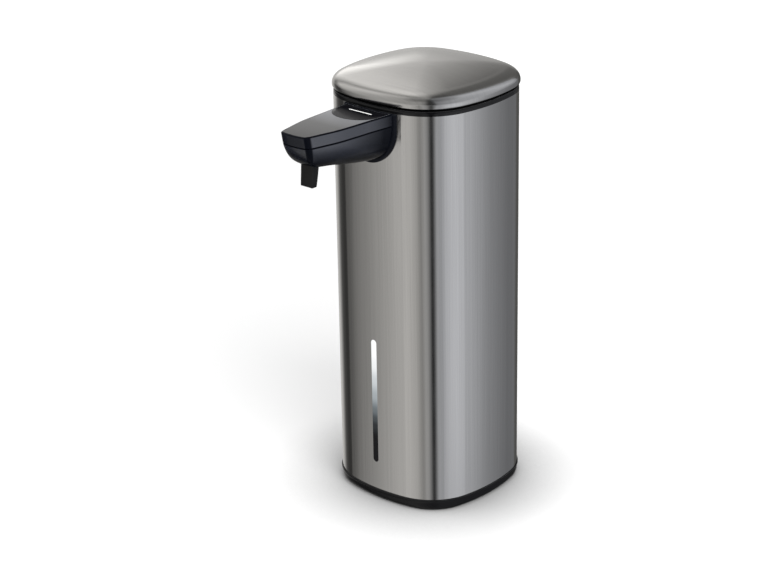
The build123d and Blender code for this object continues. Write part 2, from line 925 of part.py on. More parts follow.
# Sprung contacts, one against each end of each cell
with BuildPart() as cell_contacts:
    for side in (-1, 1):
        wall_y = box_middle_y + side * box_half_y
        face_y = wall_y - side * contact_thickness
        touch_y = wall_y - side * (contact_room - contact_touch)
        low = cell_axis_z - contact_half_height
        high = cell_axis_z + contact_half_height
        for cell in range(cell_count):
            x = cell_pitch * (cell - (cell_count - 1) / 2)
            with BuildSketch(Plane.YZ.offset(x - contact_width / 2)) as leaf:
                with BuildLine():
                    Polyline(
                        (wall_y, low),
                        (wall_y, high),
                        (face_y, high),
                        (touch_y, cell_axis_z),
                        (touch_y, cell_axis_z - contact_thickness),
                        (touch_y + side * contact_thickness, cell_axis_z - contact_thickness),
                        (touch_y + side * contact_thickness, cell_axis_z),
                        (face_y, high - 2 * contact_thickness),
                        (face_y, low),
                        close=True,
                    )
                make_face()
            extrude(leaf.sketch, amount=contact_width)
finish(cell_contacts, "cell_contacts")

# Tank, its gasket and its cover with the filler chimney

with BuildPart() as tank:
    tank_slab(0, tank_bottom, tank_top)
    tank_slab(tank_wall, tank_floor, tank_top, mode=Mode.SUBTRACT)
    column(base_screw_spots, tank_bottom, tank_floor + tank_boss_height, boss_radius)
    column(base_screw_spots, tank_bottom, base_screw_tip, screw_radius, mode=Mode.SUBTRACT)
finish(tank, "tank")

with BuildPart() as tank_gasket:
    tank_slab(0, tank_top, cover_bottom)
    tank_slab(tank_wall, tank_top, cover_bottom, mode=Mode.SUBTRACT)
finish(tank_gasket, "tank_gasket")

with BuildPart() as tank_cover:
    tank_slab(tank_wall + slip_gap, tank_top - cover_rib_depth, cover_bottom)
    tank_slab(
        tank_wall + slip_gap + cover_rib_width,
        tank_top - cover_rib_depth,
        cover_bottom,
        mode=Mode.SUBTRACT,
    )
    tank_slab(0, cover_bottom, cover_top)
    column(chassis_screw_spots, cover_bottom - chassis_boss_height, cover_bottom, boss_radius)
    rounded_slab(
        filler_width, filler_depth, filler_corner_radius, filler_centre_y, cover_bottom, chimney_top
    )
    rounded_slab(
        filler_width - 2 * filler_wall,
        filler_depth - 2 * filler_wall,
        filler_corner_radius - filler_wall,
        filler_centre_y,
        cover_bottom,
        chimney_top,
        mode=Mode.SUBTRACT,
    )
    column(
        [(0, inlet_port_y)],
        cover_bottom,
        cover_top,
        pickup_outer + pickup_passage_gap,
        mode=Mode.SUBTRACT,
    )
    column(
        chassis_screw_spots,
        chassis_top - module_screw_length - screw_end_gap,
        cover_top,
        screw_radius,
        mode=Mode.SUBTRACT,
    )
finish(tank_cover, "tank_cover")

with BuildPart() as pickup_tube:
    column([(0, inlet_port_y)], tank_floor + pickup_lift, cover_top, pickup_outer)
    column([(0, inlet_port_y)], tank_floor + pickup_lift, cover_top, pickup_inner, mode=Mode.SUBTRACT)
finish(pickup_tube, "pickup_tube")

with BuildPart() as pickup_filter:
    filter_bottom = tank_floor + slip_gap
    column([(0, inlet_port_y)], filter_bottom, filter_bottom + filter_height, filter_radius)
    column(
        [(0, inlet_port_y)],
        tank_floor + pickup_lift,
        filter_bottom + filter_height,
        pickup_outer + running_gap,
        mode=Mode.SUBTRACT,
    )
    column(
        [(0, inlet_port_y)],
        filter_bottom,
        tank_floor + pickup_lift - slip_gap,
        filter_chamber_radius,
        mode=Mode.SUBTRACT,
    )
    column(
        [(0, inlet_port_y)],
        tank_floor + pickup_lift - slip_gap,
        tank_floor + pickup_lift,
        pickup_inner,
        mode=Mode.SUBTRACT,
    )
    with Locations((0, inlet_port_y, filter_bottom)):
        Box(2 * filter_radius, filter_slot, filter_slot, align=UPWARD, mode=Mode.SUBTRACT)
        Box(filter_slot, 2 * filter_radius, filter_slot, align=UPWARD, mode=Mode.SUBTRACT)
finish(pickup_filter, "pickup_filter")

# Level window in the sleeve's slot, with its lamp above it

with BuildPart() as level_window:
    with BuildSketch(Plane.XZ.offset(body_half - sleeve_wall - tank_gap)) as nose:
        with Locations((0, (slot_bottom + slot_top) / 2)):
            SlotOverall(
                slot_top - slot_bottom - 2 * window_gap,
                slot_width - 2 * window_gap,
                rotation=quarter_turn,
            )
    extrude(nose.sketch, amount=sleeve_wall + tank_gap)
    brick(
        -window_flange_width / 2,
        window_flange_width / 2,
        -body_half + sleeve_wall + window_face_gap,
        -window_back,
        window_foot,
        window_head,
    )
finish(level_window, "level_window")

with BuildPart() as level_lamp_board:
    brick(
        -window_flange_width / 2,
        window_flange_width / 2,
        -window_back - lamp_board_thickness,
        -window_back,
        lamp_bottom,
        lamp_board_top,
    )
finish(level_lamp_board, "level_lamp_board")

with BuildPart() as level_lamp:
    brick(
        -lamp_width / 2,
        lamp_width / 2,
        -window_back - lamp_board_thickness - lamp_height / 2,
        -window_back - lamp_board_thickness,
        lamp_bottom,
        lamp_bottom + lamp_height,
    )
finish(level_lamp, "level_lamp")

# Chassis that carries the pump, the motor and the deck

with BuildPart() as chassis:
    body_slab(chassis_inset, cover_top, chassis_top)
    brick(
        -body_half,
        body_half,
        chassis_rear,
        body_half,
        cover_top,
        chassis_top,
        mode=Mode.SUBTRACT,
    )
    brick(
        -lead_notch_half,
        lead_notch_half,
        -body_half,
        lead_notch_front,
        cover_top,
        chassis_top,
        mode=Mode.SUBTRACT,
    )
    column(column_spots, cover_top, deck_bottom, column_radius)
    column(column_spots, case_screw_tip, deck_bottom, screw_radius, mode=Mode.SUBTRACT)
    column(
        chassis_screw_spots,
        cover_top,
        chassis_top,
        screw_radius + screw_pass_gap,
        mode=Mode.SUBTRACT,
    )
    column(pump_screw_spots, pump_screw_tip, chassis_top, screw_radius, mode=Mode.SUBTRACT)
    column(
        [(0, inlet_port_y)],
        cover_top,
        chassis_top,
        inlet_nipple_radius + slip_gap,
        mode=Mode.SUBTRACT,
    )
finish(chassis, "chassis")

# Gear pump

with BuildPart() as pump_housing:
    brick(
        -pump_half_width,
        pump_half_width,
        pump_axis_y - pump_half_depth,
        pump_axis_y + pump_half_depth,
        chassis_top,
        cavity_ceiling,
    )
    column([(0, outlet_port_y)], chassis_top, pump_cover_top, port_boss_radius)
    brick(
        -port_boss_radius,
        port_boss_radius,
        outlet_port_y,
        pump_axis_y,
        chassis_top,
        cavity_ceiling,
    )
    column([(0, outlet_port_y)], pump_cover_top, pump_cover_top + barb_length, barb_radius)
    column([(0, inlet_port_y)], cover_top - inlet_nipple_length, chassis_top, inlet_nipple_radius)
    column(
        [(drive_x, pump_axis_y), (idler_x, pump_axis_y)],
        cavity_floor,
        cavity_ceiling,
        cavity_radius,
        mode=Mode.SUBTRACT,
    )
    with Locations(Location((0, outlet_port_y, port_z), (-quarter_turn, 0, 0))):
        Cylinder(port_radius, pump_axis_y - outlet_port_y, align=UPWARD, mode=Mode.SUBTRACT)
    with Locations(Location((0, inlet_port_y, port_z), (quarter_turn, 0, 0))):
        Cylinder(port_radius, inlet_port_y - pump_axis_y, align=UPWARD, mode=Mode.SUBTRACT)
    column([(0, outlet_port_y)], port_z, pump_cover_top + barb_length, barb_bore, mode=Mode.SUBTRACT)
    column([(0, inlet_port_y)], cover_top - inlet_nipple_length, port_z, barb_bore, mode=Mode.SUBTRACT)
    column([(drive_x, pump_axis_y)], shaft_end, cavity_floor, drive_bore, mode=Mode.SUBTRACT)
    column([(idler_x, pump_axis_y)], shaft_end, cavity_floor, idler_pin_radius, mode=Mode.SUBTRACT)
    column(pump_screw_spots, chassis_top, cavity_ceiling, screw_radius + screw_pass_gap, mode=Mode.SUBTRACT)
finish(pump_housing, "pump_housing")

with BuildPart() as pump_cover:
    brick(
        -pump_half_width,
        pump_half_width,
        pump_axis_y - pump_half_depth,
        pump_axis_y + pump_half_depth,
        cavity_ceiling,
        pump_cover_top,
    )
    column([(drive_x, pump_axis_y)], cavity_ceiling, pump_cover_top, drive_bore, mode=Mode.SUBTRACT)
    column(
        [(idler_x, pump_axis_y)],
        cavity_ceiling,
        cavity_ceiling + pump_cover_thickness / 2,
        idler_pin_radius,
        mode=Mode.SUBTRACT,
    )
    column(
        pump_screw_spots,
        cavity_ceiling,
        pump_cover_top,
        screw_radius + screw_pass_gap,
        mode=Mode.SUBTRACT,
    )
finish(pump_cover, "pump_cover")

with BuildPart() as shaft_seal:
    column([(drive_x, pump_axis_y)], pump_cover_top, pump_cover_top + shaft_seal_height, shaft_seal_radius)
    column(
        [(drive_x, pump_axis_y)],
        pump_cover_top,
        pump_cover_top + shaft_seal_height,
        drive_bore,
        mode=Mode.SUBTRACT,
    )
finish(shaft_seal, "shaft_seal")

with BuildPart() as pump_drive_gear:
    gear((drive_x, pump_axis_y), pump_teeth, pump_module, 0, gear_bottom, pump_gear_height)
    column([(drive_x, pump_axis_y)], shaft_end + pump_face_gap, bracket_top, drive_shaft_radius)
finish(pump_drive_gear, "pump_drive_gear")

with BuildPart() as pump_idler_gear:
    idler_spot = (idler_x, pump_axis_y)
    gear(idler_spot, pump_teeth, pump_module, half_turn / pump_teeth, gear_bottom, pump_gear_height)
    column(
        [(idler_x, pump_axis_y)],
        gear_bottom,
        gear_bottom + pump_gear_height,
        idler_pin_radius + running_gap,
        mode=Mode.SUBTRACT,
    )
finish(pump_idler_gear, "pump_idler_gear")

with BuildPart() as idler_pin:
    column([(idler_x, pump_axis_y)], shaft_end, cavity_ceiling + pump_cover_thickness / 2, idler_pin_radius)
finish(idler_pin, "idler_pin")

# Reduction gear, motor and their bracket

with BuildPart() as drive_wheel:
    gear((drive_x, pump_axis_y), wheel_teeth, drive_module, 0, wheel_bottom, wheel_height)
    column([(drive_x, pump_axis_y)], wheel_bottom, wheel_top + wheel_hub_height, wheel_hub_radius)
    column(
        [(drive_x, pump_axis_y)],
        wheel_bottom,
        wheel_top + wheel_hub_height,
        drive_shaft_radius,
        mode=Mode.SUBTRACT,
    )
    web_holes_radius = wheel_teeth * drive_module * wheel_web_share / 2
    with Locations((drive_x, pump_axis_y, wheel_bottom)):
        with PolarLocations(wheel_web_place_share * wheel_teeth * drive_module / 2, wheel_web_count):
            Cylinder(
                web_holes_radius * wheel_web_hole_share, wheel_height, align=UPWARD, mode=Mode.SUBTRACT
            )
finish(drive_wheel, "drive_wheel")

with BuildPart() as motor_pinion:
    motor_spot = (motor_x, motor_y)
    gear(motor_spot, pinion_teeth, drive_module, half_turn / pinion_teeth, pinion_bottom, pinion_height)
    column(
        [(motor_x, motor_y)],
        pinion_bottom,
        pinion_bottom + pinion_height,
        motor_shaft_radius,
        mode=Mode.SUBTRACT,
    )
finish(motor_pinion, "motor_pinion")

with BuildPart() as motor_bracket:
    brick(bracket_left, bracket_right, bracket_front, bracket_rear, bracket_bottom, bracket_top)
    fillet(motor_bracket.edges().filter_by(Axis.Z), radius=bracket_inset)
    column(leg_spots, chassis_top, bracket_bottom, bracket_leg_radius)
    column(
        leg_spots,
        bracket_top - module_screw_length - screw_end_gap,
        bracket_top,
        screw_radius,
        mode=Mode.SUBTRACT,
    )
    column([(drive_x, pump_axis_y)], bracket_bottom, bracket_top, drive_bore, mode=Mode.SUBTRACT)
    boss_hole = motor_boss_radius + running_gap
    column([(motor_x, motor_y)], bracket_bottom, bracket_top, boss_hole, mode=Mode.SUBTRACT)
    screw_hole = small_screw_radius + slip_gap
    column(motor_screw_spots, bracket_bottom, bracket_top, screw_hole, mode=Mode.SUBTRACT)
finish(motor_bracket, "motor_bracket")

with BuildPart() as motor_can:
    column([(motor_x, motor_y)], bracket_top, motor_top, motor_radius)
    column([(motor_x, motor_y)], bracket_top - motor_boss_height, bracket_top, motor_boss_radius)
    can_bore = motor_radius - motor_wall
    column([(motor_x, motor_y)], bracket_top + motor_wall, motor_top, can_bore, mode=Mode.SUBTRACT)
    column(
        [(motor_x, motor_y)],
        bracket_top - motor_boss_height,
        bracket_top + motor_wall,
        motor_shaft_radius + running_gap,
        mode=Mode.SUBTRACT,
    )
    column(motor_screw_spots, bracket_top, bracket_top + motor_wall, small_screw_radius, mode=Mode.SUBTRACT)
finish(motor_can, "motor_can")

with BuildPart() as motor_magnets:
    with BuildSketch(Plane.XY.offset(bracket_top + rotor_clear)) as pair:
        with Locations((motor_x, motor_y)):
            Circle(motor_radius - motor_wall)
            Circle(motor_radius - motor_wall - magnet_thickness, mode=Mode.SUBTRACT)
            Rectangle(magnet_split, 2 * motor_radius, mode=Mode.SUBTRACT)
    extrude(pair.sketch, amount=motor_length - 2 * rotor_clear)
finish(motor_magnets, "motor_magnets")

with BuildPart() as motor_rotor:
    column([(motor_x, motor_y)], pinion_bottom, motor_top + motor_cap_height / 2, motor_shaft_radius)
    column([(motor_x, motor_y)], bracket_top + rotor_clear, motor_top - rotor_clear, rotor_radius)
finish(motor_rotor, "motor_rotor")

with BuildPart() as motor_end_cap:
    column([(motor_x, motor_y)], motor_top, motor_top + motor_cap_height, motor_radius)
    column(
        [(motor_x, motor_y)],
        motor_top,
        motor_top + motor_cap_height / 2 + slip_gap,
        motor_shaft_radius + running_gap,
        mode=Mode.SUBTRACT,
    )
    for side in (-1, 1):
        brick(
            motor_x - terminal_width / 2,
            motor_x + terminal_width / 2,
            motor_y + side * terminal_offset - terminal_thickness / 2,
            motor_y + side * terminal_offset + terminal_thickness / 2,
            motor_top + motor_cap_height,
            motor_top + motor_cap_height + terminal_height,
        )
finish(motor_end_cap, "motor_end_cap")

# Deck under the lid, with the collar and the hinge, and the neck in its filler hole

with BuildPart() as deck:
    body_slab(base_rim_inset, deck_bottom - deck_skirt_depth, sleeve_top)
    body_slab(
        base_rim_inset + deck_skirt_wall,
        deck_bottom - deck_skirt_depth,
        deck_bottom,
        mode=Mode.SUBTRACT,
    )
    brick(
        -skirt_gap_half,
        skirt_gap_half,
        -body_half,
        -body_half / 2,
        deck_bottom - deck_skirt_depth,
        deck_bottom,
        mode=Mode.SUBTRACT,
    )
    body_slab(collar_inset, sleeve_top, collar_top)
    body_slab(collar_inset + collar_width, sleeve_top, collar_top, mode=Mode.SUBTRACT)
    rounded_slab(
        filler_width - 2 * filler_wall,
        filler_depth - 2 * filler_wall,
        filler_corner_radius - filler_wall,
        filler_centre_y,
        deck_bottom,
        sleeve_top,
        mode=Mode.SUBTRACT,
    )
    column(board_screw_spots, board_top, deck_bottom, standoff_radius)
    column(board_screw_spots, board_top, board_screw_tip, small_screw_radius, mode=Mode.SUBTRACT)
    column(column_spots, deck_bottom, sleeve_top, screw_radius + screw_pass_gap, mode=Mode.SUBTRACT)
    column(
        column_spots,
        sleeve_top - screw_head_height,
        sleeve_top,
        screw_head_radius + screw_pass_gap,
        mode=Mode.SUBTRACT,
    )
    column(button_spots, deck_bottom, sleeve_top, button_radius + button_slide_gap, mode=Mode.SUBTRACT)
    brick(
        -hinge_relief_half,
        hinge_relief_half,
        hinge_relief_front,
        body_half,
        collar_top - hinge_relief_depth,
        collar_top,
        mode=Mode.SUBTRACT,
    )
    brick(
        -deck_knuckle_half,
        deck_knuckle_half,
        hinge_web_front,
        hinge_web_rear,
        sleeve_top,
        hinge_z,
    )
    with Locations(Location((0, hinge_y, hinge_z), (0, quarter_turn, 0))):
        Cylinder(knuckle_radius, 2 * deck_knuckle_half)
        Cylinder(hinge_pin_radius, 2 * deck_knuckle_half, mode=Mode.SUBTRACT)
finish(deck, "deck")

with BuildPart() as filler_neck:
    rounded_slab(
        mouth_width + 2 * spigot_wall,
        mouth_depth + 2 * spigot_wall,
        mouth_corner + spigot_wall,
        filler_centre_y,
        deck_bottom - spigot_depth,
        sleeve_top,
    )
    rounded_slab(
        mouth_width + 2 * mouth_lip,
        mouth_depth + 2 * mouth_lip,
        mouth_corner + mouth_lip,
        filler_centre_y,
        sleeve_top,
        mouth_top,
    )
    rounded_slab(
        mouth_width,
        mouth_depth,
        mouth_corner,
        filler_centre_y,
        deck_bottom - spigot_depth,
        mouth_top,
        mode=Mode.SUBTRACT,
    )
finish(filler_neck, "filler_neck")

with BuildPart() as mouth_seal:
    rounded_slab(
        filler_width, filler_depth, filler_corner_radius, filler_centre_y, chimney_top, deck_bottom
    )
    rounded_slab(
        filler_width - 2 * filler_wall,
        filler_depth - 2 * filler_wall,
        filler_corner_radius - filler_wall,
        filler_centre_y,
        chimney_top,
        deck_bottom,
        mode=Mode.SUBTRACT,
    )
finish(mouth_seal, "mouth_seal")

with BuildPart() as hinge_pin:
    with Locations(Location((0, hinge_y, hinge_z), (0, quarter_turn, 0))):
        Cylinder(hinge_pin_radius, 2 * (deck_knuckle_half + knuckle_gap + knuckle_length))
finish(hinge_pin, "hinge_pin")

# Main board under the deck, with its parts and the three buttons over its switches

with BuildPart() as main_board:
    brick(-board_half_width, board_half_width, board_front, board_rear, board_bottom, board_top)
    fillet(main_board.edges().filter_by(Axis.Z), radius=board_screw_inset / 2)
    column(board_screw_spots, board_bottom, board_top, small_screw_radius + slip_gap, mode=Mode.SUBTRACT)
finish(main_board, "main_board")

with BuildPart() as board_parts:
    for x, y in button_spots:
        brick(
            x - switch_side / 2,
            x + switch_side / 2,
            y - switch_side / 2,
            y + switch_side / 2,
            board_top,
            board_top + switch_height - switch_plunger,
        )
        column([(x, y)], board_top, board_top + switch_height, switch_side / 4)
    brick(
        chip_x - chip_side / 2,
        chip_x + chip_side / 2,
        chip_y - chip_side / 2,
        chip_y + chip_side / 2,
        board_bottom - chip_height,
        board_bottom,
    )
    column([(capacitor_x, capacitor_y)], board_bottom - capacitor_height, board_bottom, capacitor_radius)
    for x, y in socket_spots:
        brick(
            x - socket_width / 2,
            x + socket_width / 2,
            y - socket_depth / 2,
            y + socket_depth / 2,
            socket_bottom,
            board_bottom,
        )
finish(board_parts, "board_parts")


def button(spot, name):
    """Push button that drops into the deck from below, with a dished top for the finger."""
    with BuildPart() as cap:
        column([spot], stem_bottom, stem_bottom + button_flange_height, button_flange_radius)
        column([spot], stem_bottom, button_top, button_radius)
        with Locations((spot[0], spot[1], button_top + button_dish_radius - button_dish_depth)):
            Sphere(button_dish_radius, mode=Mode.SUBTRACT)
    finish(cap, name)


for spot, name in zip(button_spots, ("less_button", "power_button", "more_button")):
    button(spot, name)

# Lid

lid_outer = lid_form(0)
lid_inner = lid_form(lid_wall)

with BuildPart() as lid_cap:
    add(lid_outer)
    add(lid_inner, mode=Mode.SUBTRACT)
    brick(
        -hinge_notch_half,
        hinge_notch_half,
        hinge_notch_front,
        body_half + 2 * lid_overhang,
        lid_rim,
        lid_arm_top + slip_gap,
        mode=Mode.SUBTRACT,
    )
finish(lid_cap, "lid_cap")

with BuildPart() as lid_liner:
    body_slab(liner_inset, liner_bottom, lid_rim)
    body_slab(lid_wall - lid_overhang + liner_fit, lid_rim, liner_top)
    for offset_y in (-liner_rib_pitch, 0, liner_rib_pitch):
        brick(
            -liner_rib_half,
            liner_rib_half,
            offset_y - liner_rib_width / 2,
            offset_y + liner_rib_width / 2,
            liner_top,
            liner_top + liner_rib_height,
        )
    brick(
        -hinge_notch_half,
        hinge_notch_half,
        hinge_notch_front - slip_gap,
        body_half,
        liner_bottom,
        liner_top,
        mode=Mode.SUBTRACT,
    )
    for side in (-1, 1):
        near = side * (deck_knuckle_half + knuckle_gap)
        far = side * (deck_knuckle_half + knuckle_gap + knuckle_length)
        brick(min(near, far), max(near, far), lid_arm_front, hinge_y, lid_arm_bottom, lid_arm_top)
        with Locations(Location(((near + far) / 2, hinge_y, hinge_z), (0, quarter_turn, 0))):
            Cylinder(knuckle_radius, knuckle_length)
            Cylinder(hinge_pin_radius + running_gap, knuckle_length, mode=Mode.SUBTRACT)
finish(lid_liner, "lid_liner")

with BuildPart() as lid_gasket:
    rounded_slab(
        mouth_width + 2 * mouth_lip,
        mouth_depth + 2 * mouth_lip,
        mouth_corner + mouth_lip,
        filler_centre_y,
        mouth_top + seal_gap,
        liner_bottom,
    )
    rounded_slab(
        mouth_width,
        mouth_depth,
        mouth_corner,
        filler_centre_y,
        mouth_top + seal_gap,
        liner_bottom,
        mode=Mode.SUBTRACT,
    )
finish(lid_gasket, "lid_gasket")

# Spout


def shield_tool(half, underside, near, far):
    """Block with the outline of the lipped shield round the spout's root, between two distances out."""
    with BuildPart() as tool:
        with BuildSketch(Plane.XZ.offset(near)):
            with BuildLine():
                Line((-half, flange_curve_z), (-half, sleeve_top))
                Line((-half, sleeve_top), (half, sleeve_top))
                Line((half, sleeve_top), (half, flange_curve_z))
                EllipticalCenterArc(
                    (0, flange_curve_z),
                    half,
                    flange_curve_z - underside,
                    half_turn,
                    arc_size=half_turn,
                )
            make_face()
        extrude(amount=far - near)
    return tool.part


with BuildPart() as flange_recess:
    add(spout_form(-flange_fit))
    body_slab(-flange_seat, flange_bottom, sleeve_top, mode=Mode.SUBTRACT)

with BuildPart() as flange_spigot:
    with BuildSketch(Plane.XZ.offset(body_half - sleeve_wall - spigot_reach)):
        with Locations((0, (spigot_bottom + spigot_top) / 2)):
            RectangleRounded(2 * spigot_half, spigot_top - spigot_bottom, spigot_corner_radius)
    extrude(amount=spigot_reach + sleeve_wall)
    body_slab(-flange_seat, flange_bottom, sleeve_top, mode=Mode.INTERSECT)

with BuildPart() as spout_flange:
    add(shield_tool(flange_half, flange_bottom, side_centre / 2, 2 * body_half))
    body_slab(-flange_stand, flange_bottom, sleeve_top, mode=Mode.INTERSECT)
    body_slab(0, flange_bottom, sleeve_top, mode=Mode.SUBTRACT)
    add(flange_recess.part, mode=Mode.SUBTRACT)
    add(flange_spigot.part)
    with BuildSketch(Plane.XZ.offset(body_half / 2)) as passage:
        with Locations((0, (passage_bottom + passage_top) / 2)):
            RectangleRounded(2 * passage_half, passage_top - passage_bottom, passage_half / 2)
    extrude(passage.sketch, amount=body_half, mode=Mode.SUBTRACT)
    for side in (-1, 1):
        seat_spot = (side * spout_screw_x, -spout_screw_seat, spout_screw_z)
        with Locations(Location(seat_spot, (quarter_turn, 0, 0))):
            Cylinder(small_screw_radius + slip_gap, body_half, align=UPWARD, mode=Mode.SUBTRACT)
            Cylinder(small_head_radius + slip_gap, spigot_reach, align=DOWNWARD, mode=Mode.SUBTRACT)
finish(spout_flange, "spout_flange")

spout_outer = spout_form(0)
spout_inner = spout_form(spout_wall)

with BuildPart() as indicator_tool:
    with BuildSketch(Plane.XY.offset(spout_top - indicator_thickness)):
        with BuildLine():
            rear = (indicator_root_half - indicator_margin, -body_half)
            side = (indicator_side_half - indicator_margin, -indicator_side_out)
            Polyline((-side[0], side[1]), (-rear[0], rear[1]), rear, side)
            ThreePointArc(side, (0, -indicator_front_out), (-side[0], side[1]))
        make_face()
    extrude(amount=indicator_thickness)

with BuildPart() as spout_upper:
    add(spout_outer)
    add(spout_inner, mode=Mode.SUBTRACT)
    body_slab(-flange_seat, flange_bottom, spout_top, mode=Mode.SUBTRACT)
    brick(-body_half, body_half, -spout_front_out, 0, flange_bottom, spout_part_z, mode=Mode.SUBTRACT)
    add(indicator_tool.part, mode=Mode.SUBTRACT)
    brick(
        -lamp_slit_half,
        lamp_slit_half,
        -lamp_slit_out - lamp_slit_width / 2,
        -lamp_slit_out + lamp_slit_width / 2,
        spout_top - spout_wall,
        spout_top,
        mode=Mode.SUBTRACT,
    )
finish(spout_upper, "spout_upper")

with BuildPart() as indicator_window:
    add(indicator_tool.part)
    body_slab(-flange_seat - indicator_gap, flange_bottom, spout_top, mode=Mode.SUBTRACT)
    brick(
        -lamp_slit_half,
        lamp_slit_half,
        -lamp_slit_out - lamp_slit_width / 2,
        -lamp_slit_out + lamp_slit_width / 2,
        spout_top - spout_wall,
        spout_top,
        mode=Mode.SUBTRACT,
    )
finish(indicator_window, "indicator_window")

with BuildPart() as indicator_lamp:
    brick(
        -lamp_slit_half,
        lamp_slit_half,
        -lamp_slit_out - lamp_slit_width / 2,
        -lamp_slit_out + lamp_slit_width / 2,
        spout_top - lamp_bar_drop,
        spout_top,
    )
finish(indicator_lamp, "indicator_lamp")

with BuildPart() as spout_lower:
    add(spout_outer)
    add(spout_inner, mode=Mode.SUBTRACT)
    for side in (-1, 1):
        with Locations(Location((side * spout_screw_x, -body_half, spout_screw_z), (quarter_turn, 0, 0))):
            Cylinder(spout_boss_radius, spout_boss_length, align=UPWARD)
            Cylinder(small_screw_radius, spout_boss_length, align=UPWARD, mode=Mode.SUBTRACT)
    add(spout_outer, mode=Mode.INTERSECT)
    body_slab(-flange_seat, flange_bottom, spout_top, mode=Mode.SUBTRACT)
    seam_z = spout_part_z - spout_seam
    brick(-body_half, body_half, -spout_front_out, 0, seam_z, spout_top, mode=Mode.SUBTRACT)
    brick(
        -sensor_half_width,
        sensor_half_width,
        -sensor_out - sensor_half_length,
        -sensor_out + sensor_half_length,
        flange_bottom,
        sensor_board_z,
        mode=Mode.SUBTRACT,
    )
    brick(
        -nozzle_half_width - nozzle_gap,
        nozzle_half_width + nozzle_gap,
        -nozzle_out - nozzle_top_half - nozzle_gap,
        -nozzle_out + nozzle_top_half + nozzle_gap,
        flange_bottom,
        nozzle_top,
        mode=Mode.SUBTRACT,
    )
finish(spout_lower, "spout_lower")

with BuildPart() as sensor_window:
    add(spout_outer)
    add(spout_inner, mode=Mode.SUBTRACT)
    with Locations((0, -sensor_out, flange_bottom)):
        Box(
            2 * (sensor_half_width - sensor_gap),
            2 * (sensor_half_length - sensor_gap),
            sensor_board_z - flange_bottom,
            align=UPWARD,
            mode=Mode.INTERSECT,
        )
finish(sensor_window, "sensor_window")

with BuildPart() as sensor_board:
    brick(
        -sensor_board_half_width,
        sensor_board_half_width,
        -sensor_out - sensor_board_half_length,
        -sensor_out + sensor_board_half_length,
        sensor_board_z,
        sensor_board_top,
    )
finish(sensor_board, "sensor_board")

with BuildPart() as sensor_eyes:
    for x in (-sensor_eye_offset, sensor_eye_offset):
        column([(x, -sensor_out)], sensor_eye_bottom, sensor_board_z, sensor_eye_radius)
        with Locations((x, -sensor_out, sensor_eye_bottom)):
            Sphere(sensor_eye_radius)
finish(sensor_eyes, "sensor_eyes")

# Nozzle and soap line

with BuildPart() as nozzle_elbow:
    brick(
        -elbow_half_width,
        elbow_half_width,
        -nozzle_out - elbow_half_depth,
        -nozzle_out + elbow_half_depth,
        elbow_bottom,
        elbow_top,
    )
    with Locations(Location((0, -nozzle_out, tube_z), (-quarter_turn, 0, 0))):
        Cylinder(tube_inner, elbow_half_depth + elbow_barb_length, align=UPWARD)
        Cylinder(barb_bore, elbow_half_depth + elbow_barb_length, align=UPWARD, mode=Mode.SUBTRACT)
    column([(0, -nozzle_out)], elbow_bottom, tube_z, barb_bore, mode=Mode.SUBTRACT)
finish(nozzle_elbow, "nozzle_elbow")

with BuildPart() as duckbill_nozzle:
    with BuildSketch(Plane.XY.offset(nozzle_tip)):
        with Locations((0, -nozzle_tip_out)):
            Rectangle(2 * nozzle_half_width, 2 * nozzle_tip_half)
    with BuildSketch(Plane.XY.offset(nozzle_top - nozzle_collar_height)):
        with Locations((0, -nozzle_out)):
            Rectangle(2 * nozzle_half_width, 2 * nozzle_top_half)
    loft()
    with Locations((0, -nozzle_out, nozzle_top)):
        Box(
            2 * (nozzle_half_width + nozzle_collar),
            2 * (nozzle_top_half + nozzle_collar),
            nozzle_collar_height,
            align=DOWNWARD,
        )
    with BuildSketch(Plane.XY.offset(nozzle_tip)) as bore_tip:
        with Locations((0, -nozzle_tip_out)):
            Rectangle(
                2 * nozzle_half_width * nozzle_bore_share,
                2 * nozzle_tip_half * nozzle_slit_share,
            )
    with BuildSketch(Plane.XY.offset(nozzle_top)) as bore_top:
        with Locations((0, -nozzle_out)):
            Rectangle(
                2 * nozzle_half_width * nozzle_bore_share,
                2 * nozzle_top_half * nozzle_bore_share,
            )
    loft(sections=[bore_tip.sketch, bore_top.sketch], mode=Mode.SUBTRACT)
finish(duckbill_nozzle, "duckbill_nozzle")

tube_route = [
    (0, tube_rise_y, pump_cover_top),
    (0, tube_rise_y, tube_z),
    (0, -nozzle_out + elbow_half_depth, tube_z),
]
outlet_tube = bent_rod(tube_route, tube_bend, tube_outer, tube_inner)
outlet_tube.label = "outlet_tube"
export_step(outlet_tube, "parts/outlet_tube.step")

# Wires, laid in pairs


def wire_pair(points, name):
    """Two wires side by side along X or Y, the second shifted by the pair's pitch."""
    with BuildPart() as pair:
        for shift in wire_shifts[name]:
            with BuildLine() as route:
                FilletPolyline(*[Vector(*point) + Vector(*shift) for point in points], radius=wire_bend)
            with BuildSketch(Plane(route.line @ 0, z_dir=route.line % 0)) as section:
                Circle(wire_radius)
            sweep(section.sketch, path=route.line)
    finish(pair, name)


half_pitch = wire_pair_pitch / 2
wire_shifts = {
    "battery_leads": [(0, -half_pitch, -half_pitch), (0, half_pitch, half_pitch)],
    "level_leads": [(-half_pitch, -half_pitch, 0), (half_pitch, half_pitch, 0)],
    "sensor_leads": [(-half_pitch, 0, 0), (half_pitch, 0, 0)],
    "motor_leads": [(0, -terminal_offset, 0), (0, terminal_offset, 0)],
}

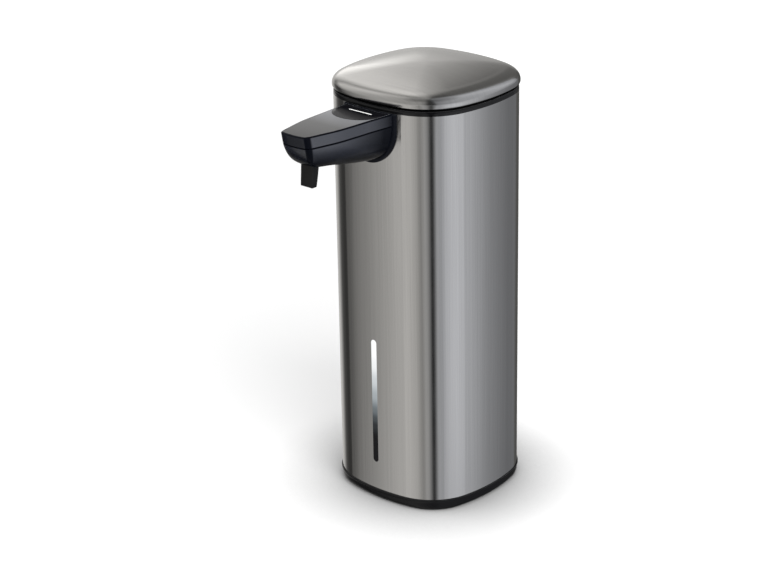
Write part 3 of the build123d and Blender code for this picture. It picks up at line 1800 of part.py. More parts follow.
wire_pair(
    [
        (-box_side_x, lead_groove_y, cell_axis_z),
        (-lead_x, lead_groove_y, cell_axis_z),
        (-lead_x, lead_groove_y, lead_turn_z),
        (battery_socket_x - 2 * socket_width, battery_socket_y, battery_lead_z),
        (battery_socket_x - socket_width / 2, battery_socket_y, battery_lead_z),
    ],
    "battery_leads",
)
wire_pair(
    [
        (0, level_lead_y, lamp_board_top),
        (0, level_lead_y, chassis_top + 2 * wire_bend),
        (lead_stack_x, lead_stack_y, chassis_top + lead_cross_rise),
        (lead_stack_x, lead_stack_y, socket_bottom - lead_cross_rise),
        (lamp_socket_x, front_socket_y, socket_bottom - 2 * wire_bend),
        (lamp_socket_x, front_socket_y, socket_bottom),
    ],
    "level_leads",
)
wire_pair(
    [
        (sensor_lead_x, -sensor_out + sensor_board_half_length - wire_bend, sensor_board_top + wire_radius),
        (sensor_lead_x, -body_half + spigot_reach, sensor_board_top + wire_radius),
        (sensor_socket_x, front_socket_y, socket_bottom - 2 * wire_bend),
        (sensor_socket_x, front_socket_y, socket_bottom),
    ],
    "sensor_leads",
)
wire_pair(
    [
        (motor_x, motor_y, motor_top + motor_cap_height + terminal_height),
        (motor_x, motor_y, motor_top + motor_cap_height + terminal_height + 2 * wire_bend),
        (motor_socket_x, motor_y, socket_bottom - 2 * wire_bend),
        (motor_socket_x, motor_y, socket_bottom),
    ],
    "motor_leads",
)

# Fasteners, like ones in one group

with BuildPart() as case_screws:
    screws(
        facing_down(base_screw_spots, base_screw_seat)
        + facing_up(column_spots, sleeve_top - screw_head_height),
        case_screw_length,
        screw_radius,
        screw_head_radius,
        screw_head_height,
    )
finish(case_screws, "case_screws")

with BuildPart() as module_screws:
    screws(
        facing_up(chassis_screw_spots, chassis_top) + facing_up(leg_spots, bracket_top),
        module_screw_length,
        screw_radius,
        screw_head_radius,
        screw_head_height,
    )
finish(module_screws, "module_screws")

with BuildPart() as pump_screws:
    screws(
        facing_up(pump_screw_spots, pump_cover_top),
        pump_screw_length,
        screw_radius,
        screw_head_radius,
        screw_head_height,
    )
finish(pump_screws, "pump_screws")

with BuildPart() as small_screws:
    screws(
        facing_down(motor_screw_spots, bracket_bottom)
        + facing_down(board_screw_spots, board_bottom)
        + [
            Location((side * spout_screw_x, -spout_screw_seat, spout_screw_z), (-quarter_turn, 0, 0))
            for side in (-1, 1)
        ],
        small_screw_length,
        small_screw_radius,
        small_head_radius,
        small_head_height,
    )
finish(small_screws, "small_screws")
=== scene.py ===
"""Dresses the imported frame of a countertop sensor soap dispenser, models its outer pieces and lights it.

Metres, +Z up, spout towards -Y, origin on the counter under the body's axis.
"""

import json
import math

import bpy
from bpy.props import FloatProperty, FloatVectorProperty, PointerProperty
from mathutils import Matrix, Vector


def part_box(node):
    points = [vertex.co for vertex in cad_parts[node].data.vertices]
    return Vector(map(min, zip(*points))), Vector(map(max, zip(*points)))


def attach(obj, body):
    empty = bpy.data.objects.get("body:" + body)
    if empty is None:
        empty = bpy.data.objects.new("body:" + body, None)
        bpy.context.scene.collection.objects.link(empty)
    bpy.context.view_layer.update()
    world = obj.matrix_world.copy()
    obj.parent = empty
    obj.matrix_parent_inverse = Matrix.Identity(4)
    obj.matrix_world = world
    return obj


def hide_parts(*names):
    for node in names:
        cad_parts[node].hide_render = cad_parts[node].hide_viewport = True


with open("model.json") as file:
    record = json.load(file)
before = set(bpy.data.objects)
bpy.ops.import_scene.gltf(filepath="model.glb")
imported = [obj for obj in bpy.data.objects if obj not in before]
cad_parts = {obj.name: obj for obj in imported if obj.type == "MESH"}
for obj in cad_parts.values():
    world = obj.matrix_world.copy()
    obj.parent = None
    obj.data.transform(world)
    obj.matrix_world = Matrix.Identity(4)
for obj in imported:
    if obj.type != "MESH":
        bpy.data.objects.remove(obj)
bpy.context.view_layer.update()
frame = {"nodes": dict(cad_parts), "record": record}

bl_info = {
    "name": "Sensor soap dispenser",
    "version": (1, 0, 0),
    "blender": (4, 5, 0),
    "location": "3D View > Sidebar > Dispenser",
    "description": "Finishes, outer pieces and studio of a countertop sensor soap dispenser",
    "category": "Object",
}

MM = 0.001


# Settings that a user would change


class DispenserFinishes(bpy.types.PropertyGroup):
    """Colours and gloss of the surfaces."""

    nickel: FloatVectorProperty(
        name="Nickel", description="Tone of the brushed metal", subtype="COLOR", size=3,
        default=(0.462, 0.455, 0.446),
    )
    nickel_roughness: FloatProperty(
        name="Brushing", description="How soft the brushed metal reflects", subtype="FACTOR", default=0.14
    )
    black: FloatVectorProperty(
        name="Black", description="Tone of the base and the collar", subtype="COLOR", size=3,
        default=(0.006, 0.006, 0.007),
    )
    spout: FloatVectorProperty(
        name="Spout", description="Tone of the spout's gloss sides", subtype="COLOR", size=3,
        default=(0.013, 0.016, 0.027),
    )
    spout_top: FloatVectorProperty(
        name="Spout top", description="Tone of the spout's satin top", subtype="COLOR", size=3,
        default=(0.04, 0.041, 0.045),
    )
    glow: FloatVectorProperty(
        name="Glow", description="Colour of the level light", subtype="COLOR", size=3,
        default=(0.78, 0.92, 1.0),
    )


class DispenserStudio(bpy.types.PropertyGroup):
    """Camera, floor and light."""

    camera_place: FloatVectorProperty(
        name="Camera place", description="Where the camera stands", subtype="XYZ", unit="LENGTH", size=3,
        default=(0.66132, -0.75601, 0.50762),
    )
    camera_forward: FloatVectorProperty(
        name="Camera direction", description="Where the camera looks", subtype="DIRECTION", size=3,
        default=(-0.62571633, 0.68429411, -0.37446047),
    )
    camera_up: FloatVectorProperty(
        name="Camera up", description="The picture's upright", subtype="DIRECTION", size=3,
        default=(-0.23936098, 0.28845409, 0.92709253),
    )
    lens: FloatProperty(
        name="Lens", description="Focal length in millimetres", default=101.53, min=20, max=300
    )
    floor_half: FloatProperty(
        name="Floor half", description="Half the floor's width", default=4.0, unit="LENGTH", min=1.0
    )
    contact_reach: FloatProperty(
        name="Contact shadow", description="How far the soft shadow reaches from what stands on the floor",
        default=0.05, unit="LENGTH", min=0.0,
    )
    key_power: FloatProperty(
        name="Key light", description="Power of the large lamp", default=16.0, unit="POWER"
    )
    fill_power: FloatProperty(
        name="Fill light", description="Power of the side lamp", default=6.0, unit="POWER"
    )


# Forms, in millimetres until they are set in the mesh

BODY_HALF = 41.0
SIDE_RADIUS = 88.3
CORNER_RADIUS = 27.0
SIDE_STEPS = 14
CORNER_STEPS = 22
WELD = 0.002
OVERRUN = 1.0
SHARP_ANGLE = 30.0
SMOOTH_ANGLE = 32.0


def body_ring(inset, height, corner_radius=None, scale=1.0):
    """Points of the body's outline at this inset and height: four shallow sides and four round corners."""
    side_radius = SIDE_RADIUS - inset
    corner_radius = CORNER_RADIUS - inset if corner_radius is None else corner_radius
    side_centre = side_radius - (BODY_HALF - inset)
    reach = side_radius - corner_radius
    corner = (math.sqrt(2 * reach**2 - side_centre**2) - side_centre) / 2
    half_angle = math.asin(corner / reach)
    points = []
    for quarter in range(4):
        turn = math.pi / 2 * quarter
        for step in range(SIDE_STEPS):
            angle = turn - half_angle + 2 * half_angle * step / SIDE_STEPS
            centre = Vector((-side_centre * math.cos(turn), -side_centre * math.sin(turn)))
            points.append(centre + side_radius * Vector((math.cos(angle), math.sin(angle))))
        for step in range(CORNER_STEPS):
            angle = turn + half_angle + (math.pi / 2 - 2 * half_angle) * step / CORNER_STEPS
            spot = Vector((math.cos(turn) - math.sin(turn), math.sin(turn) + math.cos(turn))) * corner
            points.append(spot + corner_radius * Vector((math.cos(angle), math.sin(angle))))
    points.append(points[0])
    return [Vector((point.x * scale, point.y * scale, height)) for point in points]


def body_front(across, proud=0.0):
    """How far out from the axis the body's front face stands at this distance from its middle."""
    radius = SIDE_RADIUS + proud
    return math.sqrt(radius**2 - across**2) - (SIDE_RADIUS - BODY_HALF)


def eased(rows, place):
    """The values at a place between rows of (place, value, ...), on a smooth curve through them all."""
    index = 0
    while index < len(rows) - 2 and rows[index + 1][0] < place:
        index += 1
    near, far = rows[index], rows[index + 1]
    before = rows[max(index - 1, 0)]
    after = rows[min(index + 2, len(rows) - 1)]
    span = far[0] - near[0]
    share = (place - near[0]) / span
    values = []
    for column in range(1, len(near)):
        slope_near = (far[column] - before[column]) / (far[0] - before[0]) * span
        slope_far = (after[column] - near[column]) / (after[0] - near[0]) * span
        values.append(
            (2 * share**3 - 3 * share**2 + 1) * near[column]
            + (share**3 - 2 * share**2 + share) * slope_near
            + (3 * share**2 - 2 * share**3) * far[column]
            + (share**3 - share**2) * slope_far
        )
    return values


def bezier(corners, share):
    """A point on the curve that four corners guide."""
    rest = 1 - share
    return (
        corners[0] * rest**3 + corners[1] * 3 * rest**2 * share + corners[2] * 3 * rest * share**2
        + corners[3] * share**3
    )


def deselect():
    """Leaves nothing selected, so that an operator acts on the next piece alone."""
    if bpy.context.mode != "OBJECT":
        bpy.ops.object.mode_set(mode="OBJECT")
    bpy.ops.object.select_all(action="DESELECT")


def pick(piece):
    """Selects one piece and makes it the active one."""
    deselect()
    piece.select_set(True)
    bpy.context.view_layer.objects.active = piece


def grid_form(name, rows):
    """A grid whose vertices are set row by row and welded where they meet."""
    along, across = len(rows) - 1, len(rows[0]) - 1
    deselect()
    bpy.ops.mesh.primitive_grid_add(x_subdivisions=across, y_subdivisions=along, size=2)
    piece = bpy.context.object
    piece.name = name
    for vertex in piece.data.vertices:
        column = round((vertex.co.x + 1) / 2 * across)
        row = round((vertex.co.y + 1) / 2 * along)
        vertex.co = rows[row][column] * MM
    bpy.ops.object.mode_set(mode="EDIT")
    bpy.ops.mesh.select_all(action="SELECT")
    bpy.ops.mesh.remove_doubles(threshold=WELD * MM)
    bpy.ops.mesh.normals_make_consistent(inside=False)
    bpy.ops.object.mode_set(mode="OBJECT")
    return piece


def block(low, high, edge=0.0):
    """A block between two corners, its edges rounded."""
    deselect()
    middle = [(a + b) / 2 * MM for a, b in zip(low, high)]
    bpy.ops.mesh.primitive_cube_add(size=1, location=middle)
    piece = bpy.context.object
    piece.scale = [(b - a) * MM for a, b in zip(low, high)]
    bpy.ops.object.transform_apply(location=True, rotation=True, scale=True)
    if edge:
        soften(piece, edge)
    return piece


def soften(piece, width, segments=3):
    """Rounds the sharp edges."""
    pick(piece)
    bpy.ops.object.modifier_add(type="BEVEL")
    bevel = piece.modifiers[-1]
    bevel.width = width * MM
    bevel.segments = segments
    bevel.limit_method = "ANGLE"
    bevel.angle_limit = math.radians(SHARP_ANGLE)
    bpy.ops.object.modifier_apply(modifier=bevel.name)


def cut(piece, tool):
    """Takes the tool's form out of the piece, and the tool away."""
    pick(piece)
    bpy.ops.object.modifier_add(type="BOOLEAN")
    taken = piece.modifiers[-1]
    taken.operation = "DIFFERENCE"
    taken.solver = "EXACT"
    taken.object = tool
    bpy.ops.object.modifier_apply(modifier=taken.name)
    bpy.data.objects.remove(tool, do_unlink=True)


def settle(piece, body, finish, replaced=()):
    """Gives a piece its shading, its finish, the body it rides on and the CAD nodes it stands for."""
    pick(piece)
    bpy.ops.object.shade_smooth_by_angle(angle=math.radians(SMOOTH_ANGLE))
    piece.data.materials.clear()
    piece.data.materials.append(bpy.data.materials[finish])
    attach(piece, body)
    if replaced:
        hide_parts(*replaced)


def shell_rows(outer, inner):
    """Rows of a shell that is open on one side, from its outer and inner rows, closed at its first row."""
    rim = inner[0] + inner[0][::-1] + inner[0][:1]
    return [rim] + [near + far[::-1] + near[:1] for near, far in zip(outer, inner)]


# Nodes


def feed(tree, source, target):
    """Gives an input its plain value, or joins another node's output to it."""
    if isinstance(source, bpy.types.NodeSocket):
        tree.links.new(source, target)
    else:
        target.default_value = source


def node(tree, kind, inputs=None, **settings):
    """A new node of this kind, with its settings and what feeds its inputs, by their name or number."""
    made = tree.nodes.new(kind)
    for name, value in settings.items():
        setattr(made, name, value)
    for name, source in (inputs or {}).items():
        feed(tree, source, made.inputs[name])
    return made


def worked(tree, operation, *terms):
    """The outcome of a sum on values or outputs."""
    return node(tree, "ShaderNodeMath", dict(enumerate(terms)), operation=operation).outputs["Value"]


def mapped(tree, source, low, high, to_low=0.0, to_high=1.0):
    """A value that goes from to_low to to_high while the source goes from low to high."""
    limits = {"Value": source, "From Min": low, "From Max": high, "To Min": to_low, "To Max": to_high}
    return node(tree, "ShaderNodeMapRange", limits, clamp=True).outputs["Result"]


def mixed(tree, share, near, far, blend_type="MIX"):
    """A colour between two, each three numbers or an output."""
    made = node(tree, "ShaderNodeMix", {"Factor": share}, data_type="RGBA", blend_type=blend_type)
    for label, colour in (("A", near), ("B", far)):
        plain = not isinstance(colour, bpy.types.NodeSocket)
        feed(tree, (*colour, 1) if plain else colour, made.inputs[label])
    return made.outputs["Result"]


def ramp(tree, source, stops, interpolation="EASE"):
    """Grey by the source's value, from stops of (place, grey)."""
    made = node(tree, "ShaderNodeValToRGB", {"Fac": source})
    made.color_ramp.interpolation = interpolation
    while len(made.color_ramp.elements) > 1:
        made.color_ramp.elements.remove(made.color_ramp.elements[0])
    first = made.color_ramp.elements[0]
    first.position, value = stops[0]
    first.color = (value, value, value, 1)
    for place, value in stops[1:]:
        made.color_ramp.elements.new(place).color = (value, value, value, 1)
    return made.outputs["Color"]


def new_group(name, inputs, outputs):
    """An empty shader group, its inputs and its outputs, each from (label, kind) or (label, kind, value)."""
    group = bpy.data.node_groups.new(name, "ShaderNodeTree")
    for label, kind, *value in inputs:
        socket = group.interface.new_socket(label, in_out="INPUT", socket_type="NodeSocket" + kind)
        if value:
            socket.default_value = value[0]
    for label, kind in outputs:
        group.interface.new_socket(label, in_out="OUTPUT", socket_type="NodeSocket" + kind)
    return group, node(group, "NodeGroupInput").outputs, node(group, "NodeGroupOutput").inputs


def place_group(tree, name, inputs):
    """What one of the shared groups gives, placed in a material."""
    return node(tree, "ShaderNodeGroup", inputs, node_tree=bpy.data.node_groups[name]).outputs


# The shared effects' masks, as the limits of their input, and of their output unless it is 0 to 1
EDGE_AGREEMENT = (0.998, 0.86)
EDGE_PATCHES = (0.35, 0.7, 0.25, 1.0)
SCRATCH_BANDS = (0.5, 1.15)
FINE_SCRATCHES = 0.6
MOTTLED_PATCHES = (0.36, 0.66)


def build_edge_wear():
    """Group: a mask of the edges, which hands and cloths rub, and which some finishes lighten as a painted
    highlight line.
    """
    group, given, out = new_group(
        "Edge wear",
        [("Vector", "Vector"), ("Width", "Float", 0.0004), ("Break up", "Float", 260.0)],
        [("Mask", "Float")],
    )
    rounded = node(group, "ShaderNodeBevel", {"Radius": given["Width"]}, samples=4).outputs["Normal"]
    plain = node(group, "ShaderNodeNewGeometry").outputs["Normal"]
    agreement = node(group, "ShaderNodeVectorMath", {0: rounded, 1: plain}, operation="DOT_PRODUCT")
    edge = mapped(group, agreement.outputs["Value"], *EDGE_AGREEMENT)
    patches = node(
        group, "ShaderNodeTexNoise", {"Vector": given["Vector"], "Scale": given["Break up"], "Detail": 3.0}
    )
    share = mapped(group, patches.outputs["Fac"], *EDGE_PATCHES)
    feed(group, worked(group, "MULTIPLY", edge, share), out["Mask"])


def build_brush_lines():
    """Group: fine parallel scratches of a brushed sheet, in bands of slightly different depth."""
    group, given, out = new_group(
        "Brush lines",
        [("Vector", "Vector"), ("Along", "Vector", (60.0, 60.0, 6000.0))],
        [("Height", "Float"), ("Mask", "Float")],
    )
    stretched = node(
        group, "ShaderNodeVectorMath", {0: given["Vector"], 1: given["Along"]}, operation="MULTIPLY"
    ).outputs["Vector"]
    fine = node(
        group, "ShaderNodeTexNoise", {"Vector": stretched, "Scale": 1.0, "Detail": 4.0, "Roughness": 0.7}
    )
    coarse = node(group, "ShaderNodeTexNoise", {"Vector": stretched, "Scale": 0.22, "Detail": 2.0})
    both = worked(group, "MULTIPLY_ADD", fine.outputs["Fac"], FINE_SCRATCHES, coarse.outputs["Fac"])
    feed(group, both, out["Height"])
    feed(group, mapped(group, both, *SCRATCH_BANDS), out["Mask"])


def build_mould_grain():
    """Group: the fine texture of a moulded or cast face, and wide patches for its mottling."""
    group, given, out = new_group(
        "Mould grain",
        [("Vector", "Vector"), ("Scale", "Float", 3000.0)],
        [("Height", "Float"), ("Mask", "Float")],
    )
    fine = node(
        group, "ShaderNodeTexNoise",
        {"Vector": given["Vector"], "Scale": given["Scale"], "Detail": 2.0, "Roughness": 0.6},
    )
    wide = node(
        group, "ShaderNodeTexNoise",
        {"Vector": given["Vector"], "Scale": 38.0, "Detail": 3.0, "Distortion": 0.4},
    )
    feed(group, fine.outputs["Fac"], out["Height"])
    feed(group, mapped(group, wide.outputs["Fac"], *MOTTLED_PATCHES), out["Mask"])


def build_shared_groups():
    """The effects that more than one finish uses."""
    build_edge_wear()
    build_brush_lines()
    build_mould_grain()


# Finishes

# How much paler the edges turn, from rubbing and for painted highlight lines
EDGE_LIFT = 0.12
MOULDED_SPREAD = (0.88, 1.12)
MOULDED_RELIEF = 0.4
COAT_ROUGHNESS = 0.08
CLEAR_INDEX = 1.46
BRUSHED_TONES = (0.93, 1.05)
BRUSHED_WORN = 1.35
BRUSHED_WEAR = 0.3
BRUSHED_SPREAD = (0.93, 1.07)
BRUSHED_RELIEF = 0.35
BRUSHED_DEPTH = 0.004
UNLIT_TONE = (0.004, 0.004, 0.005)
UNLIT_ROUGHNESS = 0.22
FROST_ROUGHNESS = (0.16, 0.3)
GLOW_STOPS = [
    (0.0, 0.0), (0.22, 0.0), (0.31, 0.026), (0.36, 0.07), (0.42, 0.17), (0.53, 0.42), (0.64, 0.65),
    (0.75, 0.9), (0.84, 1.0), (1.0, 1.0),
]


def start_finish(name, colour, roughness, metallic=0.0):
    """A material with a Principled surface of one tone, and its object coordinates."""
    material = bpy.data.materials.new(name)
    material.use_nodes = True
    material.diffuse_color = (*colour, 1)
    tree = material.node_tree
    tree.nodes.clear()
    surface = node(tree, "ShaderNodeBsdfPrincipled")
    change(surface, {"Base Color": (*colour, 1), "Roughness": roughness, "Metallic": metallic})
    node(tree, "ShaderNodeOutputMaterial", {"Surface": surface.outputs["BSDF"]})
    return material, tree, surface, node(tree, "ShaderNodeTexCoord").outputs["Object"]


def change(surface, values):
    """Sets plain values of the surface, by socket name."""
    for label, value in values.items():
        surface.inputs[label].default_value = value


def pale_edges(tree, surface, edge_mask, tone, worn_and_lit_tone, wear_and_highlight):
    """Base colour of the tone, paler along the edges: from rubbing, and on some finishes a painted highlight
    line.
    """
    share = worked(tree, "MULTIPLY", edge_mask["Mask"], wear_and_highlight)
    feed(tree, mixed(tree, share, tone, worn_and_lit_tone), surface.inputs["Base Color"])


def vary_roughness(tree, surface, mask, spread, roughness=1.0):
    """Roughness that goes between two values, or shares of a roughness, with the mask."""
    low, high = (roughness * share for share in spread)
    feed(tree, mapped(tree, mask, 0.0, 1.0, low, high), surface.inputs["Roughness"])


def relief(tree, surface, height, strength, depth):
    """Fine relief of this depth in millimetres."""
    bump = node(tree, "ShaderNodeBump", {"Height": height, "Strength": strength, "Distance": depth * MM})
    feed(tree, bump.outputs["Normal"], surface.inputs["Normal"])


def shade(colour, factor):
    """The same tone, lighter or darker."""
    return tuple(min(1.0, part * factor) for part in colour)


def moulded(
    name, colour, roughness, grain=3000.0, depth=0.02, wear_and_highlight=0.35, mottling=0.12, coat=0.0, gloss=0.5,
    index=1.5,
):
    """Moulded plastic or rubber: fine grain, a slight mottling and edges paler from rubbing, on some finishes
    also a painted highlight line.
    """
    material, tree, surface, spot = start_finish(name, colour, roughness)
    texture = place_group(tree, "Mould grain", {"Vector": spot, "Scale": grain})
    tone = mixed(tree, texture["Mask"], shade(colour, 1 - mottling), shade(colour, 1 + mottling))
    worn_and_lit_tone = [part + EDGE_LIFT * (1 - part) for part in colour]
    pale_edges(tree, surface, place_group(tree, "Edge wear", {"Vector": spot}), tone, worn_and_lit_tone, wear_and_highlight)
    vary_roughness(tree, surface, texture["Mask"], MOULDED_SPREAD, roughness)
    relief(tree, surface, texture["Height"], MOULDED_RELIEF, depth)
    change(surface, {"Coat Weight": coat, "Coat Roughness": COAT_ROUGHNESS})
    change(surface, {"Specular IOR Level": gloss, "IOR": index})
    return material


def clear_moulded(name, colour, roughness, transmission, grain=2200.0):
    """Clear or milky moulded plastic."""
    material = moulded(name, colour, roughness, grain, depth=0.01, wear_and_highlight=0.1, mottling=0.04)
    surface = material.node_tree.nodes["Principled BSDF"]
    change(surface, {"Transmission Weight": transmission, "IOR": CLEAR_INDEX})
    return material


def brushed(name, colour, roughness, along):
    """Brushed metal: parallel scratches that soften what it reflects."""
    material, tree, surface, spot = start_finish(name, colour, roughness, metallic=1.0)
    lines = place_group(tree, "Brush lines", {"Vector": spot, "Along": along})
    texture = place_group(tree, "Mould grain", {"Vector": spot, "Scale": 900.0})
    tone = mixed(tree, lines["Mask"], *(shade(colour, factor) for factor in BRUSHED_TONES))
    edge_mask = place_group(tree, "Edge wear", {"Vector": spot, "Width": 0.0005})
    pale_edges(tree, surface, edge_mask, tone, shade(colour, BRUSHED_WORN), BRUSHED_WEAR)
    vary_roughness(tree, surface, texture["Mask"], BRUSHED_SPREAD, roughness)
    relief(tree, surface, lines["Height"], BRUSHED_RELIEF, BRUSHED_DEPTH)
    return material


def glowing(name, colour, bottom, top):
    """A clear light guide, bright at its lamp and fading down to unlit."""
    material, tree, surface, spot = start_finish(name, UNLIT_TONE, UNLIT_ROUGHNESS)
    height = node(tree, "ShaderNodeSeparateXYZ", {"Vector": spot}).outputs["Z"]
    fade = ramp(tree, mapped(tree, height, bottom, top), GLOW_STOPS)
    white = mixed(tree, fade, colour, (1, 1, 1))
    feed(tree, mixed(tree, 1.0, fade, white, "MULTIPLY"), surface.inputs["Emission Color"])
    change(surface, {"Emission Strength": 1.0, "Specular IOR Level": 0.15})
    frost = place_group(tree, "Mould grain", {"Vector": spot, "Scale": 1600.0})
    vary_roughness(tree, surface, frost["Mask"], FROST_ROUGHNESS)
    return material


def build_finishes():
    """Every finish of the dispenser, by the record's slot."""
    tones = bpy.context.scene.dispenser_finishes
    level_low, level_high = (corner[2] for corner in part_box("level_window"))
    return {
        "brushed_steel": brushed(
            "brushed nickel", tones.nickel, tones.nickel_roughness, (7000.0, 7000.0, 45.0)
        ),
        # The black shell's paler edges are partly rubbing and partly a painted highlight line along the
        # collar's edge.
        "black_shell": moulded("black shell", tones.black, 0.3, depth=0.01, gloss=0.15, wear_and_highlight=0.5),
        "foot_rubber": moulded("foot rubber", (0.03, 0.03, 0.03), 0.7, depth=0.06),
        "door_plastic": moulded("door plastic", (0.022, 0.022, 0.024), 0.5, depth=0.05),
        "screw_steel": brushed("screw steel", (0.62, 0.62, 0.6), 0.3, (900.0, 900.0, 900.0)),
        "cell_sleeve": moulded("cell sleeve", (0.05, 0.075, 0.1), 0.28, wear_and_highlight=0.5),
        "spring_contacts": brushed("spring contacts", (0.75, 0.74, 0.7), 0.25, (2500.0, 60.0, 60.0)),
        "wire_sleeve": moulded("wire sleeve", (0.28, 0.02, 0.02), 0.45),
        "tank_plastic": clear_moulded("milky tank", (0.82, 0.84, 0.86), 0.3, 0.35),
        "cover_plastic": clear_moulded("milky cover", (0.78, 0.8, 0.82), 0.34, 0.25),
        "seal_rubber": moulded("seal rubber", (0.09, 0.09, 0.1), 0.6, depth=0.04),
        "tube_rubber": clear_moulded("soft tube", (0.8, 0.82, 0.8), 0.25, 0.5),
        "filter_mesh": moulded("filter mesh", (0.75, 0.75, 0.7), 0.6, grain=1200.0, depth=0.2),
        "light_guide": glowing("level light", tones.glow, level_low, level_high),
        "board": moulded("board resist", (0.012, 0.09, 0.04), 0.3, grain=500.0),
        "lamp_resin": clear_moulded("lamp resin", (0.95, 0.95, 0.85), 0.25, 0.2),
        "chassis_plastic": moulded("chassis plastic", (0.33, 0.34, 0.35), 0.5, depth=0.04),
        "pump_plastic": moulded("pump plastic", (0.09, 0.1, 0.115), 0.32),
        "gear_plastic": moulded("gear plastic", (0.78, 0.77, 0.71), 0.35),
        "pin_steel": brushed("ground pin", (0.7, 0.7, 0.7), 0.18, (60.0, 60.0, 5000.0)),
        "pinion_brass": brushed("cut brass", (0.8, 0.58, 0.25), 0.25, (60.0, 60.0, 4000.0)),
        "motor_steel": brushed("drawn steel", (0.62, 0.62, 0.61), 0.3, (60.0, 60.0, 3000.0)),
        "magnet": moulded("ferrite magnet", (0.03, 0.03, 0.033), 0.6, depth=0.08),
        "rotor_copper": brushed("lacquered winding", (0.7, 0.32, 0.14), 0.3, (3000.0, 3000.0, 60.0)),
        "end_cap_plastic": moulded("end cap plastic", (0.02, 0.02, 0.02), 0.45),
        "chip_plastic": moulded("chip plastic", (0.02, 0.02, 0.022), 0.5, depth=0.05),
        "button_rubber": moulded("button rubber", (0.16, 0.165, 0.175), 0.55, depth=0.04),
        "liner_plastic": moulded("liner plastic", (0.02, 0.02, 0.022), 0.5, depth=0.05),
        # The spout trim's strong edge lightening is a painted highlight line along the shield's rounded edge,
        # partly rubbing too.
        "spout_trim": moulded("spout trim", shade(tones.spout, 0.3), 0.24, depth=0.004, gloss=0.07, wear_and_highlight=0.9),
        "spout_top": moulded("spout top", tones.spout_top, 0.36, depth=0.02),
        "spout_body": moulded("spout body", tones.spout, 0.17, depth=0.004, coat=1.0, wear_and_highlight=0.1),
        "smoked_window": moulded(
            "smoked window", (0.006, 0.006, 0.008), 0.12, depth=0.002, index=1.12, wear_and_highlight=0.3
        ),
        "eye_resin": moulded("eye resin", (0.05, 0.01, 0.05), 0.12),
        "nozzle_rubber": moulded("nozzle rubber", (0.0045, 0.0045, 0.005), 0.5, depth=0.02, gloss=0.25),
    }


def blend_in(tree, surface, mask, changes):
    """Changes a finish where the mask is 1: each change is a socket's name and its value there."""
    for label, value in changes.items():
        socket = surface.inputs[label]
        colour = label == "Base Color"
        mix = node(tree, "ShaderNodeMix", {"Factor": mask}, data_type="RGBA" if colour else "FLOAT")
        near, far = (mix.inputs["A"], mix.inputs["B"]) if colour else (mix.inputs[2], mix.inputs[3])
        feed(tree, socket.links[0].from_socket if socket.is_linked else socket.default_value, near)
        far.default_value = value
        feed(tree, mix.outputs["Result" if colour else 0], socket)


# The nose's corners, painted with shade and unglossed: how the painted shade draws in and back with the
# square of the drop below the seam, and leans back
CORNER_INWARDS = 29.0
CORNER_BACKWARDS = -19.0
CORNER_LEAN = 0.166
CORNER_DROP = 12.0
CORNER_FADE = (2.3, 1.4)

# Where each half is painted with shade and unglossed at its tip and its root: (axis, from, to, how strong)
UPPER_PAINTED_SHADE = (("Y", -89.8, -91.2, 0.78), ("Y", -56.0, -42.5, 0.85))
LOWER_PAINTED_SHADE = (("Y", -89.8, -91.2, 0.35), ("Y", -70.0, -46.0, 0.95))
# Painted shade along the keel and beside the parting line: (from, to) above the keel line and away from the
# seam
KEEL_PAINTED_SHADE = (11.5, 3.0)
SEAM_PAINTED_SHADE = (0.42, 0.22)

# The frame's rise above its low edge, the satin panel's start below the top, and its two long gradients of
# painted reflection: darker towards the tip, paler towards the root
FRAME_FADE = 0.1
PANEL_FADE = (0.03, 0.01)
PANEL_PAINTED_SHADE = (-66.0, -92.0)
PANEL_PAINTED_REFLECTION = (-72.0, -56.0)


def corner_painted_shade(tree, apart):
    """Mask of the painted shade on the nose's two corners, which draw in and back as they go down."""
    drop = mapped(tree, apart["Z"], SPOUT_SEAM * MM, (SPOUT_SEAM - CORNER_DROP) * MM, 0.0, CORNER_DROP * MM)
    squared = worked(tree, "MULTIPLY", drop, drop)
    across = worked(tree, "MULTIPLY_ADD", squared, CORNER_INWARDS, worked(tree, "ABSOLUTE", apart["X"]))
    out = worked(tree, "MULTIPLY_ADD", squared, CORNER_BACKWARDS, apart["Y"])
    upright = worked(tree, "MULTIPLY_ADD", apart["Z"], CORNER_LEAN, out)
    plan = node(tree, "ShaderNodeCombineXYZ", {"X": across, "Y": upright}).outputs["Vector"]
    corner = (NOSE_CORNER_ACROSS * MM, (CORNER_LEAN * SPOUT_TOP - NOSE_CORNER_OUT) * MM, 0)
    away = node(tree, "ShaderNodeVectorMath", {0: plan, 1: corner}, operation="DISTANCE").outputs["Value"]
    return mapped(tree, away, CORNER_FADE[0] * MM, CORNER_FADE[1] * MM)


def painted_shade_mask(tree, apart, panel):
    """Mask of the painted shade on a half, unglossed too: the nose's corners, its tip, its root, its keel and
    beside its seam.
    """
    slope = worked(tree, "MULTIPLY_ADD", apart["Y"], KEEL_SLOPE, apart["Z"])
    seam = [SPOUT_PART + away if panel else SPOUT_SEAM - away for away in SEAM_PAINTED_SHADE]
    places = [(apart[axis], *place) for axis, *place in (UPPER_PAINTED_SHADE if panel else LOWER_PAINTED_SHADE)]
    places += [(slope, KEEL_LINE + KEEL_PAINTED_SHADE[0], KEEL_LINE + KEEL_PAINTED_SHADE[1], 1.0), (apart["Z"], *seam, 1.0)]
    whole = corner_painted_shade(tree, apart)
    for source, low, high, most in places:
        whole = worked(tree, "MAXIMUM", whole, mapped(tree, source, low * MM, high * MM, 0.0, most))
    return whole


